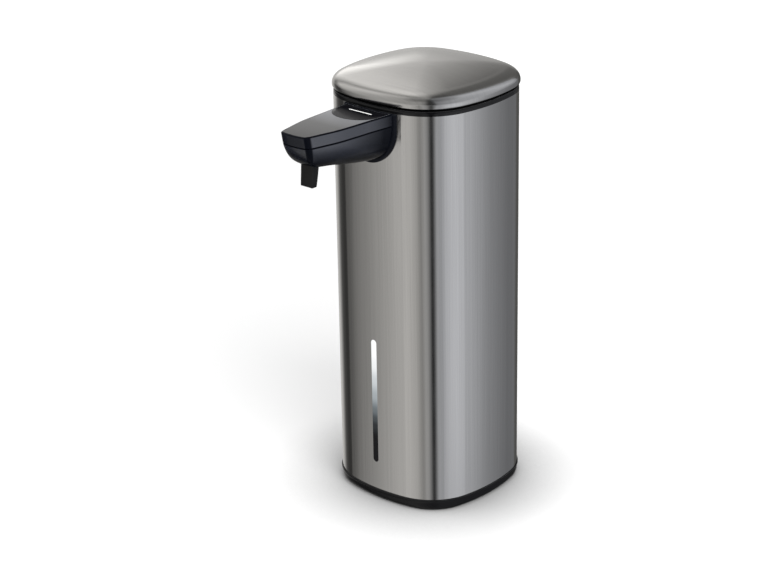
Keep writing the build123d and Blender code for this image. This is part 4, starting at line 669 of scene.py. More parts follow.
def spout_finish(name, panel):
    """Gloss dark plastic with unglossed painted shade at its nose's corners, tip, root, keel and seam, and on
    the upper half an unglossed dark frame, partly painted shade, round a satin panel with a painted
    reflection.
    """
    tones = bpy.context.scene.dispenser_finishes
    material = moulded(name, tones.spout, 0.17, depth=0.004, coat=1.0, wear_and_highlight=0.1)
    tree = material.node_tree
    surface = tree.nodes["Principled BSDF"]
    spot = node(tree, "ShaderNodeTexCoord").outputs["Object"]
    apart = node(tree, "ShaderNodeSeparateXYZ", {"Vector": spot}).outputs
    dull_and_painted_shade = {"Base Color": (*shade(tones.spout, 0.25), 1), "Coat Weight": 0.0, "Specular IOR Level": 0.03}
    # Painted shade: a darker unglossed tone on the nose's corners, tip, root, keel and beside the seam.
    blend_in(tree, surface, painted_shade_mask(tree, apart, panel), dull_and_painted_shade)
    if not panel:
        return
    rim = SPOUT_TOP - SPOUT_EDGE
    # The frame round the panel: an inset panel's dark frame, its darker unglossed tone partly painted shade
    # for the dark line along the rounded edge.
    blend_in(tree, surface, mapped(tree, apart["Z"], rim * MM, (rim + FRAME_FADE) * MM), dull_and_painted_shade)
    satin = mapped(tree, apart["Z"], *((SPOUT_TOP - below) * MM for below in PANEL_FADE))
    blend_in(tree, surface, satin, {
        "Base Color": (*tones.spout_top, 1), "Roughness": 0.28, "Coat Weight": 0.0, "Specular IOR Level": 0.5,
    })
    # Painted reflection on the satin panel: darker towards the tip, paler towards the root.
    for (low, high), changes in (
        (PANEL_PAINTED_SHADE, {"Base Color": (*shade(tones.spout_top, 0.4), 1), "IOR": 1.28}),
        (PANEL_PAINTED_REFLECTION, {"Base Color": (*shade(tones.spout_top, 4.5), 1)}),
    ):
        along = mapped(tree, apart["Y"], low * MM, high * MM)
        blend_in(tree, surface, worked(tree, "MULTIPLY", along, satin), changes)


def build_piece_finishes():
    """The finishes that only modelled pieces wear."""
    tones = bpy.context.scene.dispenser_finishes
    brushed("brushed nickel lid", tones.nickel, tones.nickel_roughness * 1.25, (60.0, 7000.0, 60.0))
    spout_finish("spout top half", True)
    spout_finish("spout lower half", False)
    moulded("collar gloss", shade(tones.black, 0.6), 0.1, depth=0.002, coat=0.04, gloss=0.25, wear_and_highlight=0.4)
    moulded("pale ink", (0.7, 0.71, 0.72), 0.5, wear_and_highlight=0.2)
    lamp = moulded("indicator light", (0.8, 0.8, 0.78), 0.3, wear_and_highlight=0.1)
    glow = {"Emission Color": (0.95, 0.95, 0.93, 1), "Emission Strength": 0.85}
    change(lamp.node_tree.nodes["Principled BSDF"], glow)


def dress(node_name, material):
    """Gives a CAD node its finish."""
    slots = frame["nodes"][node_name].data.materials
    slots.clear()
    slots.append(material)


# Stage: what gloss reflects, as grey by compass turn in degrees from -Y towards +X

WALL_STOPS = [
    (-180, 0.10), (-158, 0.06), (-146, 0.28), (-138, 0.42), (-114, 0.48), (-108, 0.45), (-100, 0.29),
    (-92, 0.088), (-76, 0.035), (-67, 0.059), (-59, 0.217), (-43, 0.33), (-26, 0.47), (-16, 0.574),
    (-4, 0.549), (6, 0.511), (15, 0.404), (22, 0.256), (31, 0.425), (39, 0.226), (43, 0.01), (47.5, 0.01),
    (51, 0.2), (55, 0.454), (63, 0.388), (71, 0.536), (79, 0.623), (92, 0.68), (108, 0.645), (120, 0.513),
    (137, 0.308), (160, 0.176),
]
HORIZON_STOPS = [
    (-180, 0.10), (-165, 0.10), (-152, 0.12), (-145, 0.2), (-138, 0.6), (-133, 1.25), (-124, 1.15),
    (-114, 0.6), (-104, 0.17), (-92, 0.25), (-70, 0.32), (-43, 0.38), (-16, 0.5), (15, 0.42), (31, 0.42),
    (41, 0.12), (50, 0.12), (62, 0.42), (92, 0.62), (120, 0.5), (145, 0.4), (165, 0.35),
]
CEILING_STOPS = [
    (-180, 0.16), (-167, 0.11), (-150, 0.13), (-144, 0.29), (-137.5, 0.45), (-130, 0.75), (-120, 0.82),
    (-111, 0.6), (-103, 0.32), (-86, 0.7), (-59, 0.46), (-20, 0.36), (20, 0.34), (31, 0.24), (38, 0.02),
    (53, 0.02), (60, 0.26), (100, 0.38), (145, 0.46), (165, 0.58), (174, 0.40),
]

# Where one gives way to the next, as the upward part of the direction, or in radians of turn
HORIZON_FROM = (0.08, 0.17)
CEILING_FROM = (0.25, 0.38)
ZENITH_FROM = (0.8, 0.96)
TABLE_FROM = (-0.43, -0.62)
TABLE_TURN = (1.1, 1.5)
WINDOW_TURN = (0.35, 1.05)
WARM_CAST = (1.012, 1.0, 0.975)
COOL_CAST = (0.965, 0.99, 1.045)
REFLECTION_STRENGTH = 1.5
TABLE_SHARE = 0.45
ZENITH_SHARE = 0.5
SOFT_STRENGTH = 0.5


def room_colour(tree, height, turn):
    """What gloss reflects of the room: walls, horizon and ceiling, cooler on the window's side."""
    share = mapped(tree, turn, -math.pi, math.pi)
    walls, horizon, ceiling = (
        ramp(tree, share, [(place / 360 + 0.5, value) for place, value in stops], "LINEAR")
        for stops in (WALL_STOPS, HORIZON_STOPS, CEILING_STOPS)
    )
    low = mixed(tree, mapped(tree, height, *HORIZON_FROM), walls, horizon)
    seen = mixed(tree, mapped(tree, height, *CEILING_FROM), low, ceiling)
    cast = mixed(tree, mapped(tree, turn, *WINDOW_TURN), WARM_CAST, COOL_CAST)
    return mixed(tree, 1.0, seen, cast, "MULTIPLY")


def room_strength(tree, height, turn):
    """How bright the room is in gloss: darker over the table beside and behind, and straight up."""
    beside = mapped(tree, worked(tree, "ABSOLUTE", turn), *TABLE_TURN)
    patch = worked(tree, "MULTIPLY", mapped(tree, height, *TABLE_FROM), beside)
    table = mapped(tree, patch, 0.0, 1.0, REFLECTION_STRENGTH, REFLECTION_STRENGTH * TABLE_SHARE)
    return worked(tree, "MULTIPLY", table, mapped(tree, height, *ZENITH_FROM, 1.0, ZENITH_SHARE))


def background(tree, colour, strength):
    """Light from all round, its colour and strength each a value or an output."""
    return node(tree, "ShaderNodeBackground", {"Color": colour, "Strength": strength}).outputs["Background"]


def studio_world(scene):
    """Soft light all round, a room of light and dark for what gloss reflects, and white for the camera."""
    world = bpy.data.worlds.new("soft studio")
    scene.world = world
    world.use_nodes = True
    tree = world.node_tree
    tree.nodes.clear()
    direction = node(tree, "ShaderNodeTexCoord").outputs["Generated"]
    apart = node(tree, "ShaderNodeSeparateXYZ", {"Vector": direction}).outputs
    turn = worked(tree, "ARCTAN2", apart["X"], worked(tree, "MULTIPLY", apart["Y"], -1.0))
    reflected = background(
        tree, room_colour(tree, apart["Z"], turn), room_strength(tree, apart["Z"], turn)
    )
    soft = background(tree, (1, 1, 1, 1), SOFT_STRENGTH)
    white = background(tree, (1, 1, 1, 1), 1.0)
    ray = node(tree, "ShaderNodeLightPath").outputs
    glossy = node(tree, "ShaderNodeMixShader", {0: ray["Is Glossy Ray"], 1: soft, 2: reflected})
    seen = node(tree, "ShaderNodeMixShader", {0: ray["Is Camera Ray"], 1: glossy.outputs["Shader"], 2: white})
    node(tree, "ShaderNodeOutputWorld", {"Surface": seen.outputs["Shader"]})


# The floor's tone to a bounce of light, how its painted contact shadow falls off, how it is lifted for the
# camera, and the painted light that lifts one side further
FLOOR_TONE = (0.8, 0.8, 0.8)
CONTACT_POWER = 1.25
LIFT_FROM = (0.5, 1.6)
LIFT_SHARES = (0.3, 1.0)
PAINTED_LIGHT_DIRECTION = (0.755, 0.656, 0.0)
PAINTED_LIGHT_FROM = (0.03, 0.07)
PAINTED_LIGHT_LIFT = 0.12


def floor_finish(studio):
    """Matt white with a painted contact shadow near what stands on it, lifted to white for the camera away
    from the object, and painted lighter on one side.
    """
    material = bpy.data.materials.new("studio floor")
    material.use_nodes = True
    tree = material.node_tree
    tree.nodes.clear()
    # Painted contact shadow: occlusion darkens the floor's colour and its lift for the camera.
    open_sky = node(tree, "ShaderNodeAmbientOcclusion", {"Distance": studio.contact_reach}, samples=8)
    contact = worked(tree, "POWER", open_sky.outputs["AO"], CONTACT_POWER)
    matt = node(tree, "ShaderNodeBsdfDiffuse", {"Color": mixed(tree, contact, (0, 0, 0), FLOOR_TONE)})
    spot = node(tree, "ShaderNodeTexCoord").outputs["Object"]
    far = node(tree, "ShaderNodeVectorMath", {0: spot}, operation="LENGTH").outputs["Value"]
    across = node(tree, "ShaderNodeVectorMath", {0: spot, 1: PAINTED_LIGHT_DIRECTION}, operation="DOT_PRODUCT")
    whiter = mapped(tree, far, *LIFT_FROM, *LIFT_SHARES)
    # Painted light: the lift for the camera is raised on one side, lightening the contact shadow there.
    painted_light_side = mapped(tree, across.outputs["Value"], *PAINTED_LIGHT_FROM, 0.0, PAINTED_LIGHT_LIFT)
    shaded = worked(tree, "MULTIPLY", contact, worked(tree, "ADD", whiter, painted_light_side))
    ray = node(tree, "ShaderNodeLightPath").outputs["Is Camera Ray"]
    strength = worked(tree, "MULTIPLY", ray, shaded)
    lift = node(tree, "ShaderNodeEmission", {"Color": (1, 1, 1, 1), "Strength": strength})
    both = node(tree, "ShaderNodeAddShader", {0: matt.outputs["BSDF"], 1: lift.outputs["Emission"]})
    node(tree, "ShaderNodeOutputMaterial", {"Surface": both.outputs["Shader"]})
    return material


def studio_floor(studio):
    """The floor, white to the camera apart from the object's soft shadow."""
    bpy.ops.mesh.primitive_grid_add(x_subdivisions=8, y_subdivisions=8, size=2 * studio.floor_half)
    floor = bpy.context.object
    floor.name = "studio_floor"
    floor.data.materials.append(floor_finish(studio))
    floor.visible_glossy = False


# Where each lamp stands and how wide it is, the height they face, and the camera's fixed values
KEY_LAMP = ((0.9, -0.5, 1.3), 1.0)
FILL_LAMP = ((-1.0, -0.7, 0.9), 1.2)
LAMP_AIM = 0.1
SENSOR_WIDTH = 36.0
NEAREST = 0.01
FARTHEST = 20.0


def studio_lamp(name, place, size, power):
    """A large soft lamp that faces the object's middle."""
    data = bpy.data.lights.new(name, "AREA")
    data.shape = "DISK"
    data.size = size
    data.energy = power
    lamp = bpy.data.objects.new(name, data)
    bpy.context.collection.objects.link(lamp)
    lamp.location = place
    lamp.rotation_euler = (Vector((0, 0, LAMP_AIM)) - Vector(place)).to_track_quat("-Z", "Y").to_euler()
    lamp.visible_glossy = False


def studio_camera(studio):
    """The camera at the picture's own angle."""
    data = bpy.data.cameras.new("camera")
    data.lens = studio.lens
    data.sensor_width = SENSOR_WIDTH
    data.clip_start = NEAREST
    data.clip_end = FARTHEST
    camera = bpy.data.objects.new("camera", data)
    bpy.context.collection.objects.link(camera)
    back = -Vector(studio.camera_forward).normalized()
    up = Vector(studio.camera_up).normalized()
    right = up.cross(back).normalized()
    turned = Matrix((right, back.cross(right), back)).transposed().to_4x4()
    camera.matrix_world = Matrix.Translation(studio.camera_place) @ turned
    bpy.context.scene.camera = camera


class DISPENSER_OT_studio(bpy.types.Operator):
    """Adds the floor, the lamps, the world and the camera"""

    bl_idname = "dispenser.studio"
    bl_label = "Studio"

    def execute(self, context):
        studio = context.scene.dispenser_studio
        bpy.ops.object.select_all(action="DESELECT")
        studio_floor(studio)
        studio_lamp("key_lamp", *KEY_LAMP, studio.key_power)
        studio_lamp("fill_lamp", *FILL_LAMP, studio.fill_power)
        studio_world(context.scene)
        studio_camera(studio)
        context.scene.view_settings.view_transform = "Standard"
        return {"FINISHED"}


class DISPENSER_OT_finishes(bpy.types.Operator):
    """Builds the finishes and gives each CAD node its own"""

    bl_idname = "dispenser.finishes"
    bl_label = "Finishes"

    def execute(self, context):
        build_shared_groups()
        finishes = build_finishes()
        build_piece_finishes()
        for entry in frame["record"]["subparts"]:
            dress(entry["node"], finishes[entry["material_slot"]])
        return {"FINISHED"}


# Lid, heights above the counter

LID_RIM = 208.85
LID_NOTCH_HALF = 13.0
LID_NOTCH_NEAR = 36.8
LID_NOTCH_FAR = 43.0
LID_NOTCH_TOP = 211.1
LID_BAND = 1.1
LID_EDGE = -0.59
LID_WALL = 0.8
LID_RIM_TURN = ((0.0, 0.3), (0.07, 0.09), (0.28, 0.0), (LID_WALL, 0.0))
LID_SHOULDER_ACROSS = 8.6
LID_SHOULDER_UP = 5.55
LID_SHOULDER_SWEEP = math.radians(74)
LID_DOME_RISE = 3.48
LID_DOME_CORNER = 16.0
LID_DOME_SHARES = (0.0, 0.06, 0.14, 0.22, 0.31, 0.4, 0.5, 0.6, 0.69, 0.78, 0.86, 0.92, 0.97)
SHOULDER_STEPS = 12
NO_WIDTH = 0.000001


def lid_rings(inset):
    """Rings of the lid from its middle down to its band, moved inwards by inset."""
    shoulder_low = LID_RIM + LID_BAND
    shoulder_rise = LID_SHOULDER_UP - inset
    edge = LID_EDGE + inset
    corner_rim = CORNER_RADIUS - edge
    corner_top = LID_DOME_CORNER - inset
    rings = []
    for share in LID_DOME_SHARES:
        height = shoulder_low + shoulder_rise + LID_DOME_RISE * (1 - share**2)
        rings.append(body_ring(edge + LID_SHOULDER_ACROSS, height, corner_top, max(share, NO_WIDTH)))
    for step in range(SHOULDER_STEPS, -1, -1):
        turn = LID_SHOULDER_SWEEP * step / SHOULDER_STEPS
        across = (1 - math.cos(turn)) / (1 - math.cos(LID_SHOULDER_SWEEP))
        rise = math.sin(turn) / math.sin(LID_SHOULDER_SWEEP)
        rings.append(
            body_ring(
                edge + LID_SHOULDER_ACROSS * across,
                shoulder_low + shoulder_rise * rise,
                corner_rim + (corner_top - corner_rim) * across,
            )
        )
    return rings


class DISPENSER_OT_lid(bpy.types.Operator):
    """Models the pressed metal lid"""

    bl_idname = "dispenser.lid"
    bl_label = "Lid"

    def execute(self, context):
        rim = [body_ring(LID_EDGE + inwards, LID_RIM + up) for inwards, up in LID_RIM_TURN]
        lid = grid_form("lid_shell", lid_rings(0.0) + rim + lid_rings(LID_WALL)[::-1])
        notch_low = (-LID_NOTCH_HALF, LID_NOTCH_NEAR, LID_RIM - OVERRUN)
        cut(lid, block(notch_low, (LID_NOTCH_HALF, LID_NOTCH_FAR, LID_NOTCH_TOP)))
        settle(lid, "lid", "brushed nickel lid", ["lid_cap"])
        return {"FINISHED"}


# Spout, distances out from the body's axis and heights above the counter

SPOUT_TOP = 205.2
SPOUT_PART = 199.6
SPOUT_SEAM = 199.35
SPOUT_WALL = 1.5
SPOUT_EDGE = 0.55
SPOUT_FRAME = 0.95
FRAME_DROP = 0.06
PANEL_RISE = ((0.04, 0.04), (0.0, 0.1))
SPOUT_LIP = 0.2
SPOUT_SIDE = [
    (38.0, 15.3), (40.0, 15.0), (46.0, 14.4), (54.0, 13.6), (64.0, 13.0), (74.0, 12.15), (82.0, 10.6),
    (88.0, 9.2),
]
SPOUT_UNDER = [
    (38.0, 181.0), (46.0, 181.5), (54.0, 182.4), (64.0, 184.1), (74.0, 186.2), (81.0, 187.3), (90.0, 188.0),
]
SPOUT_ROOT = 41.0
SPOUT_STEPS = 20
ROOT_STAND = 1.62
NOSE_START = 84.0
NOSE_FRONT = 93.4
NOSE_TURN = (Vector((8.9, 92.1)), Vector((6.6, 92.75)))
NOSE_FACE = (Vector((4.6, 93.25)), Vector((2.2, NOSE_FRONT)), Vector((0.0, NOSE_FRONT)))
NOSE_REACH = 4.2
NOSE_TURN_STEPS = 14
NOSE_FACE_STEPS = 8
NOSE_LEAN = 0.2
NOSE_LEAN_START = 86.0
NOSE_CORNER_ACROSS = 8.1
NOSE_CORNER_OUT = 91.5
SIDE_SHARES = (0.3, 0.6, 0.85, 1.0)
EDGE_STEPS = 6
PANEL_STEPS = 12
KEEL_SLOPE = 0.14
KEEL_LINE = 175.7
KEEL_BEND = 72.0
KEEL_END = 80.5
KEEL_STEPS = 16
KEEL_GUIDE_SHARES = (0.95, 0.8)
KEEL_DROP_SHARE = 0.52


def spout_plan():
    """Half of the spout's plan, from its root to the middle of its nose: (across, out) and outward normal."""
    points = []
    for step in range(SPOUT_STEPS):
        out = SPOUT_ROOT + (NOSE_START - SPOUT_ROOT) * step / SPOUT_STEPS
        points.append(Vector((eased(SPOUT_SIDE, out)[0], out)))
    start = Vector((eased(SPOUT_SIDE, NOSE_START)[0], NOSE_START))
    slope = eased(SPOUT_SIDE, NOSE_START)[0] - eased(SPOUT_SIDE, NOSE_START - 1)[0]
    turn = [start, start + Vector((slope * NOSE_REACH, NOSE_REACH)), *NOSE_TURN]
    points += [bezier(turn, step / NOSE_TURN_STEPS) for step in range(NOSE_TURN_STEPS)]
    points += [bezier((turn[3], *NOSE_FACE), step / NOSE_FACE_STEPS) for step in range(NOSE_FACE_STEPS + 1)]
    plan = []
    for index, point in enumerate(points[:-1]):
        run = (points[index + 1] - points[max(index - 1, 0)]).normalized()
        plan.append((point, Vector((run.y, -run.x))))
    return plan + [(points[-1], Vector((0.0, 1.0)))]


def spout_point(across, out, height, stand=ROOT_STAND):
    """A point of the spout, kept this far out from the sleeve at its root, clear of the shield."""
    return Vector((across, -max(out, body_front(across, stand)), height))


def lean(out, height):
    """How far the nose's front face leans back at this height."""
    share = min(1.0, max(0.0, (out - NOSE_LEAN_START) / (NOSE_FRONT - NOSE_LEAN_START)))
    return (SPOUT_TOP - height) * NOSE_LEAN * share * share * (3 - 2 * share)


def spout_upper_rows(inset):
    """Rows of the upper half from root to nose, each from one side's seam over the top to the other's."""
    top = SPOUT_TOP - inset
    side_top = top - SPOUT_EDGE
    levels = [(SPOUT_PART, SPOUT_LIP if inset == 0 else 0.0), (SPOUT_PART + SPOUT_LIP, 0.0)]
    levels += [(SPOUT_PART + (side_top - SPOUT_PART) * share, 0.0) for share in SIDE_SHARES]
    for step in range(1, EDGE_STEPS + 1):
        angle = math.pi / 2 * step / EDGE_STEPS
        up = side_top + (SPOUT_EDGE - FRAME_DROP) * math.sin(angle)
        levels.append((up, SPOUT_FRAME * (1 - math.cos(angle))))
    levels += [(top - below, SPOUT_FRAME + inwards) for below, inwards in PANEL_RISE]
    rows = []
    for point, normal in spout_plan():
        half = []
        for height, inwards in levels:
            spot = point - normal * (inset + inwards)
            half.append((max(spot.x, 0.0), spot.y - lean(point.y, height), height))
        side = [spout_point(x, out, height) for x, out, height in half]
        other = [spout_point(-x, out, height) for x, out, height in half]
        across = [other[-1].lerp(side[-1], step / PANEL_STEPS) for step in range(1, PANEL_STEPS)]
        rows.append(other + [spout_point(spot.x, -spot.y, spot.z) for spot in across] + side[::-1])
    return rows


def spout_lower_rows(inset):
    """Rows of the lower half from root to nose, each from one side's seam under the keel to the other's."""
    rows = []
    lip = SPOUT_LIP if inset == 0 else 0.0
    for point, normal in spout_plan():
        spot = point - normal * inset
        share = min(1.0, max(0.0, (point.y - KEEL_BEND) / (NOSE_FRONT - KEEL_BEND)))
        keel_out = min(point.y, KEEL_BEND) + (KEEL_END - KEEL_BEND) * share
        bottom = eased(SPOUT_UNDER, keel_out)[0] + inset
        drop = SPOUT_SEAM - bottom
        keel = min(keel_out, spot.y)
        side = Vector((max(spot.x, 0.0), spot.y))
        inwards = Vector((max(spot.x - normal.x * lip, 0.0), spot.y - normal.y * lip))
        upper, lower = (
            Vector((side.x * part, keel + (side.y - keel) * part, height))
            for part, height in zip(KEEL_GUIDE_SHARES, (SPOUT_SEAM - drop * KEEL_DROP_SHARE, bottom))
        )
        guides = [Vector((*side, SPOUT_SEAM - SPOUT_LIP)), upper, lower, Vector((0.0, keel, bottom))]
        half = [Vector((*inwards, SPOUT_SEAM)), guides[0]]
        half += [bezier(guides, step / KEEL_STEPS) for step in range(1, KEEL_STEPS + 1)]
        right = [spout_point(x, out - lean(point.y, z) * (out / side.y), z) for x, out, z in half]
        left = [Vector((-spot.x, spot.y, spot.z)) for spot in right]
        rows.append(left + right[::-1][1:])
    return rows


WINDOW_BEND = 49.0
WINDOW_FRONT = 60.0
WINDOW_MARGIN = 1.15
WINDOW_STAND = 1.7
WINDOW_DEPTH = 0.9
WINDOW_GAP = 0.06
WINDOW_ROOT_STEPS = 8
WINDOW_FRONT_STEPS = 16
WINDOW_HALF_STEPS = 6
WINDOW_EDGE = 0.12
RECESS_DEPTH = 1.0


def window_rows(gap, depth, above):
    """Rows of the smoked window from its root to its rounded front, as a closed plate."""
    low, high = SPOUT_TOP - depth, SPOUT_TOP + above
    reach = WINDOW_FRONT - gap - WINDOW_BEND
    straight = WINDOW_BEND - SPOUT_ROOT
    outs = [SPOUT_ROOT + straight * step / WINDOW_ROOT_STEPS for step in range(WINDOW_ROOT_STEPS)]
    for step in range(WINDOW_FRONT_STEPS + 1):
        outs.append(WINDOW_BEND + reach * math.sin(math.pi / 2 * step / WINDOW_FRONT_STEPS))
    rows = []
    for out in outs:
        half = eased(SPOUT_SIDE, min(out, WINDOW_BEND))[0] - WINDOW_MARGIN - gap
        if out > WINDOW_BEND:
            share = min(1.0, (out - WINDOW_BEND) / reach)
            half *= math.sqrt(max(0.0, 1 - share**2))
        places = [half * (step / WINDOW_HALF_STEPS - 1) for step in range(2 * WINDOW_HALF_STEPS + 1)]
        over = [spout_point(x, out, high, WINDOW_STAND) for x in places]
        under = [spout_point(x, out, low, WINDOW_STAND) for x in places]
        rows.append(over + under[::-1] + over[:1])
    return [[Vector((spot.x, spot.y, low)) for spot in rows[0]]] + rows


SHIELD_HALF = 16.2
SHIELD_CURVE = 197.2
SHIELD_BOTTOM = 179.0
SHIELD_STAND = 1.6
SHIELD_EDGE = 0.75
SHIELD_TOP = 205.15
SHIELD_HOLE = 6.8
SHIELD_HOLE_HEIGHT = 193.2
SHIELD_BACK = 0.02
SHIELD_SIDE_FOOT = 0.5
SHIELD_SIDE_STEPS = 7
SHIELD_CURVE_STEPS = 40
SHIELD_TOP_STEPS = 12
SHIELD_FACE_SHARES = (0.25, 0.6, 1.0)


def shield_outline():
    """The shield's outline round from its right top corner: (across, height) and outward normal."""
    outline = []
    side = SHIELD_TOP - SHIELD_CURVE
    deep = SHIELD_CURVE - SHIELD_BOTTOM
    for step in range(SHIELD_SIDE_STEPS):
        place = Vector((SHIELD_HALF, SHIELD_TOP - side * step / SHIELD_SIDE_STEPS))
        outline.append((place, Vector((1.0, 0.0))))
    for step in range(SHIELD_CURVE_STEPS + 1):
        angle = math.pi * step / SHIELD_CURVE_STEPS
        place = Vector((SHIELD_HALF * math.cos(angle), SHIELD_CURVE - deep * math.sin(angle)))
        outline.append((place, Vector((math.cos(angle) / SHIELD_HALF, -math.sin(angle) / deep)).normalized()))
    for step in range(1, SHIELD_SIDE_STEPS + 1):
        place = Vector((-SHIELD_HALF, SHIELD_CURVE + side * step / SHIELD_SIDE_STEPS))
        outline.append((place, Vector((-1.0, 0.0))))
    for step in range(1, SHIELD_TOP_STEPS):
        place = Vector((2 * SHIELD_HALF * step / SHIELD_TOP_STEPS - SHIELD_HALF, SHIELD_TOP))
        outline.append((place, Vector((0.0, 1.0))))
    return outline + outline[:1]


def shield_rows():
    """Rows round the shield's outline, each from the sleeve over its rounded edge and back by its hole."""
    rows = []
    middle = Vector((0.0, SHIELD_HOLE_HEIGHT))
    for point, normal in shield_outline():
        hole = middle + (point - middle).normalized() * SHIELD_HOLE
        levels = [(point, SHIELD_BACK), (point, SHIELD_SIDE_FOOT), (point, SHIELD_STAND - SHIELD_EDGE)]
        for step in range(1, EDGE_STEPS + 1):
            angle = math.pi / 2 * step / EDGE_STEPS
            spot = point - normal * SHIELD_EDGE * (1 - math.cos(angle))
            levels.append((spot, SHIELD_STAND - SHIELD_EDGE + SHIELD_EDGE * math.sin(angle)))
        face = levels[-1][0]
        levels += [(face.lerp(hole, share), SHIELD_STAND) for share in SHIELD_FACE_SHARES]
        levels += [(hole, SHIELD_BACK), (point.lerp(hole, 0.5), SHIELD_BACK), (point, SHIELD_BACK)]
        rows.append([Vector((spot.x, -body_front(spot.x, proud), spot.y)) for spot, proud in levels])
    return rows


# Blocks by two corners, with the distance out as a negative y

EYE_OPENING = ((-5.8, -67.3, 178.0), (5.8, -56.7, 188.0))
NOZZLE_OPENING = ((-3.9, -84.3, 178.0), (3.9, -79.4, 192.0))
OPENING_EDGE = 0.6
LAMP_SLIT = ((-7.2, -47.45, 204.0), (7.2, -46.55, 207.0))
LAMP_SINK = 0.03
LAMP_BAR = ((-7.15, -47.4, 203.2), (7.15, -46.6, SPOUT_TOP - LAMP_SINK))
LAMP_EDGE = 0.15


class DISPENSER_OT_spout(bpy.types.Operator):
    """Models the two halves of the spout, the indicator's window and the shield at the root"""

    bl_idname = "dispenser.spout"
    bl_label = "Spout"

    def execute(self, context):
        upper = grid_form("spout_top_half", shell_rows(spout_upper_rows(0.0), spout_upper_rows(SPOUT_WALL)))
        lower = grid_form("spout_lower_half", shell_rows(spout_lower_rows(0.0), spout_lower_rows(SPOUT_WALL)))
        cut(upper, grid_form("recess", window_rows(0.0, RECESS_DEPTH, OVERRUN)))
        for corners in (EYE_OPENING, NOZZLE_OPENING):
            cut(lower, block(*corners, OPENING_EDGE))
        settle(upper, "dispenser", "spout top half", ["spout_upper"])
        settle(lower, "dispenser", "spout lower half", ["spout_lower"])
        window = grid_form("indicator_pane", window_rows(WINDOW_GAP, WINDOW_DEPTH, 0.0))
        cut(window, block(*LAMP_SLIT))
        soften(window, WINDOW_EDGE, 2)
        settle(window, "dispenser", "smoked window", ["indicator_window"])
        lamp = block(*LAMP_BAR, LAMP_EDGE)
        lamp.name = "indicator_bar"
        lamp.data.name = lamp.name
        settle(lamp, "dispenser", "indicator light", ["indicator_lamp"])
        lamp.visible_glossy = False
        shield = grid_form("spout_shield", shield_rows())
        settle(shield, "dispenser", "spout trim", ["spout_flange"])
        return {"FINISHED"}


# Nozzle, from its top down and up inside its slot: (height, rear, front, half width, corner)

NOZZLE_ROWS = (
    (192.0, 79.2, 84.1, 4.4, 0.3), (191.2, 79.2, 84.1, 4.4, 0.3), (191.1, 79.5, 83.8, 3.8, 0.3),
    (187.0, 79.6, 83.9, 3.8, 0.35), (182.5, 80.4, 84.2, 3.8, 0.35), (178.35, 81.3, 84.5, 3.8, 0.35),
    (178.08, 81.45, 84.38, 3.68, 0.3), (178.0, 81.65, 84.15, 3.5, 0.25),
    (178.0, 83.2, 83.55, 2.6, 0.1), (180.0, 83.2, 83.55, 2.6, 0.1), (192.0, 81.4, 83.4, 2.2, 0.3),
)
CORNER_POINTS = 5

# Bands, round the base's section as (inset, height, corner radius), round the collar's as (inset, height)
BASE_PROFILE = [
    (-0.32, 5.84, 27.0), (-0.42, 5.7, 27.0), (-0.42, 5.15, 27.0), (-0.34, 4.95, 27.0), (-0.1, 4.7, 26.5),
    (0.15, 3.6, 25.5), (0.5, 2.3, 24.0), (0.9, 1.2, 22.8), (1.4, 0.55, 22.0), (2.2, 0.28, 21.4),
    (4.4, 0.28, 19.5), (4.4, 1.6, 20.0), (0.8, 5.84, 26.0),
]
COLLAR_PROFILE = [
    (0.8, 205.22), (0.2, 205.22), (0.08, 205.34), (0.05, 206.1), (0.1, 206.55), (0.25, 206.95), (0.5, 207.27),
    (0.8, 207.43), (1.2, 207.48), (3.7, 207.48), (3.7, 207.3), (0.8, 206.0),
]
COLLAR_NOTCH = ((-14.0, 33.0, 204.0), (14.0, 44.0, 209.0))


def rounded_ring(height, rear, front, half, edge):
    """A ring round a block's section, with round corners."""
    ring = []
    across, near, far = half - edge, -front + edge, -rear - edge
    for quarter, (x, y) in enumerate(((across, far), (-across, far), (-across, near), (across, near))):
        for step in range(CORNER_POINTS + 1):
            angle = math.pi / 2 * (quarter + step / CORNER_POINTS)
            ring.append(Vector((x + edge * math.cos(angle), y + edge * math.sin(angle), height)))
    return ring + ring[:1]


class DISPENSER_OT_nozzle(bpy.types.Operator):
    """Models the flat nozzle under the spout's nose, with its slot"""

    bl_idname = "dispenser.nozzle"
    bl_label = "Nozzle"

    def execute(self, context):
        rows = [rounded_ring(*row) for row in NOZZLE_ROWS]
        nozzle = grid_form("soap_nozzle", rows + rows[:1])
        settle(nozzle, "dispenser", "nozzle rubber", ["duckbill_nozzle"])
        return {"FINISHED"}


class DISPENSER_OT_bands(bpy.types.Operator):
    """Models the moulded bands round the base and the collar"""

    bl_idname = "dispenser.bands"
    bl_label = "Bands"

    def execute(self, context):
        base, collar = (
            grid_form(name, [body_ring(*row) for row in profile + profile[:1]])
            for name, profile in (("base_band", BASE_PROFILE), ("collar_band", COLLAR_PROFILE))
        )
        settle(base, "dispenser", "black shell")
        cut(collar, block(*COLLAR_NOTCH))
        settle(collar, "dispenser", "collar gloss")
        return {"FINISHED"}


# Keys, their section as (radius, height) from the underside round to the top, and their plain signs

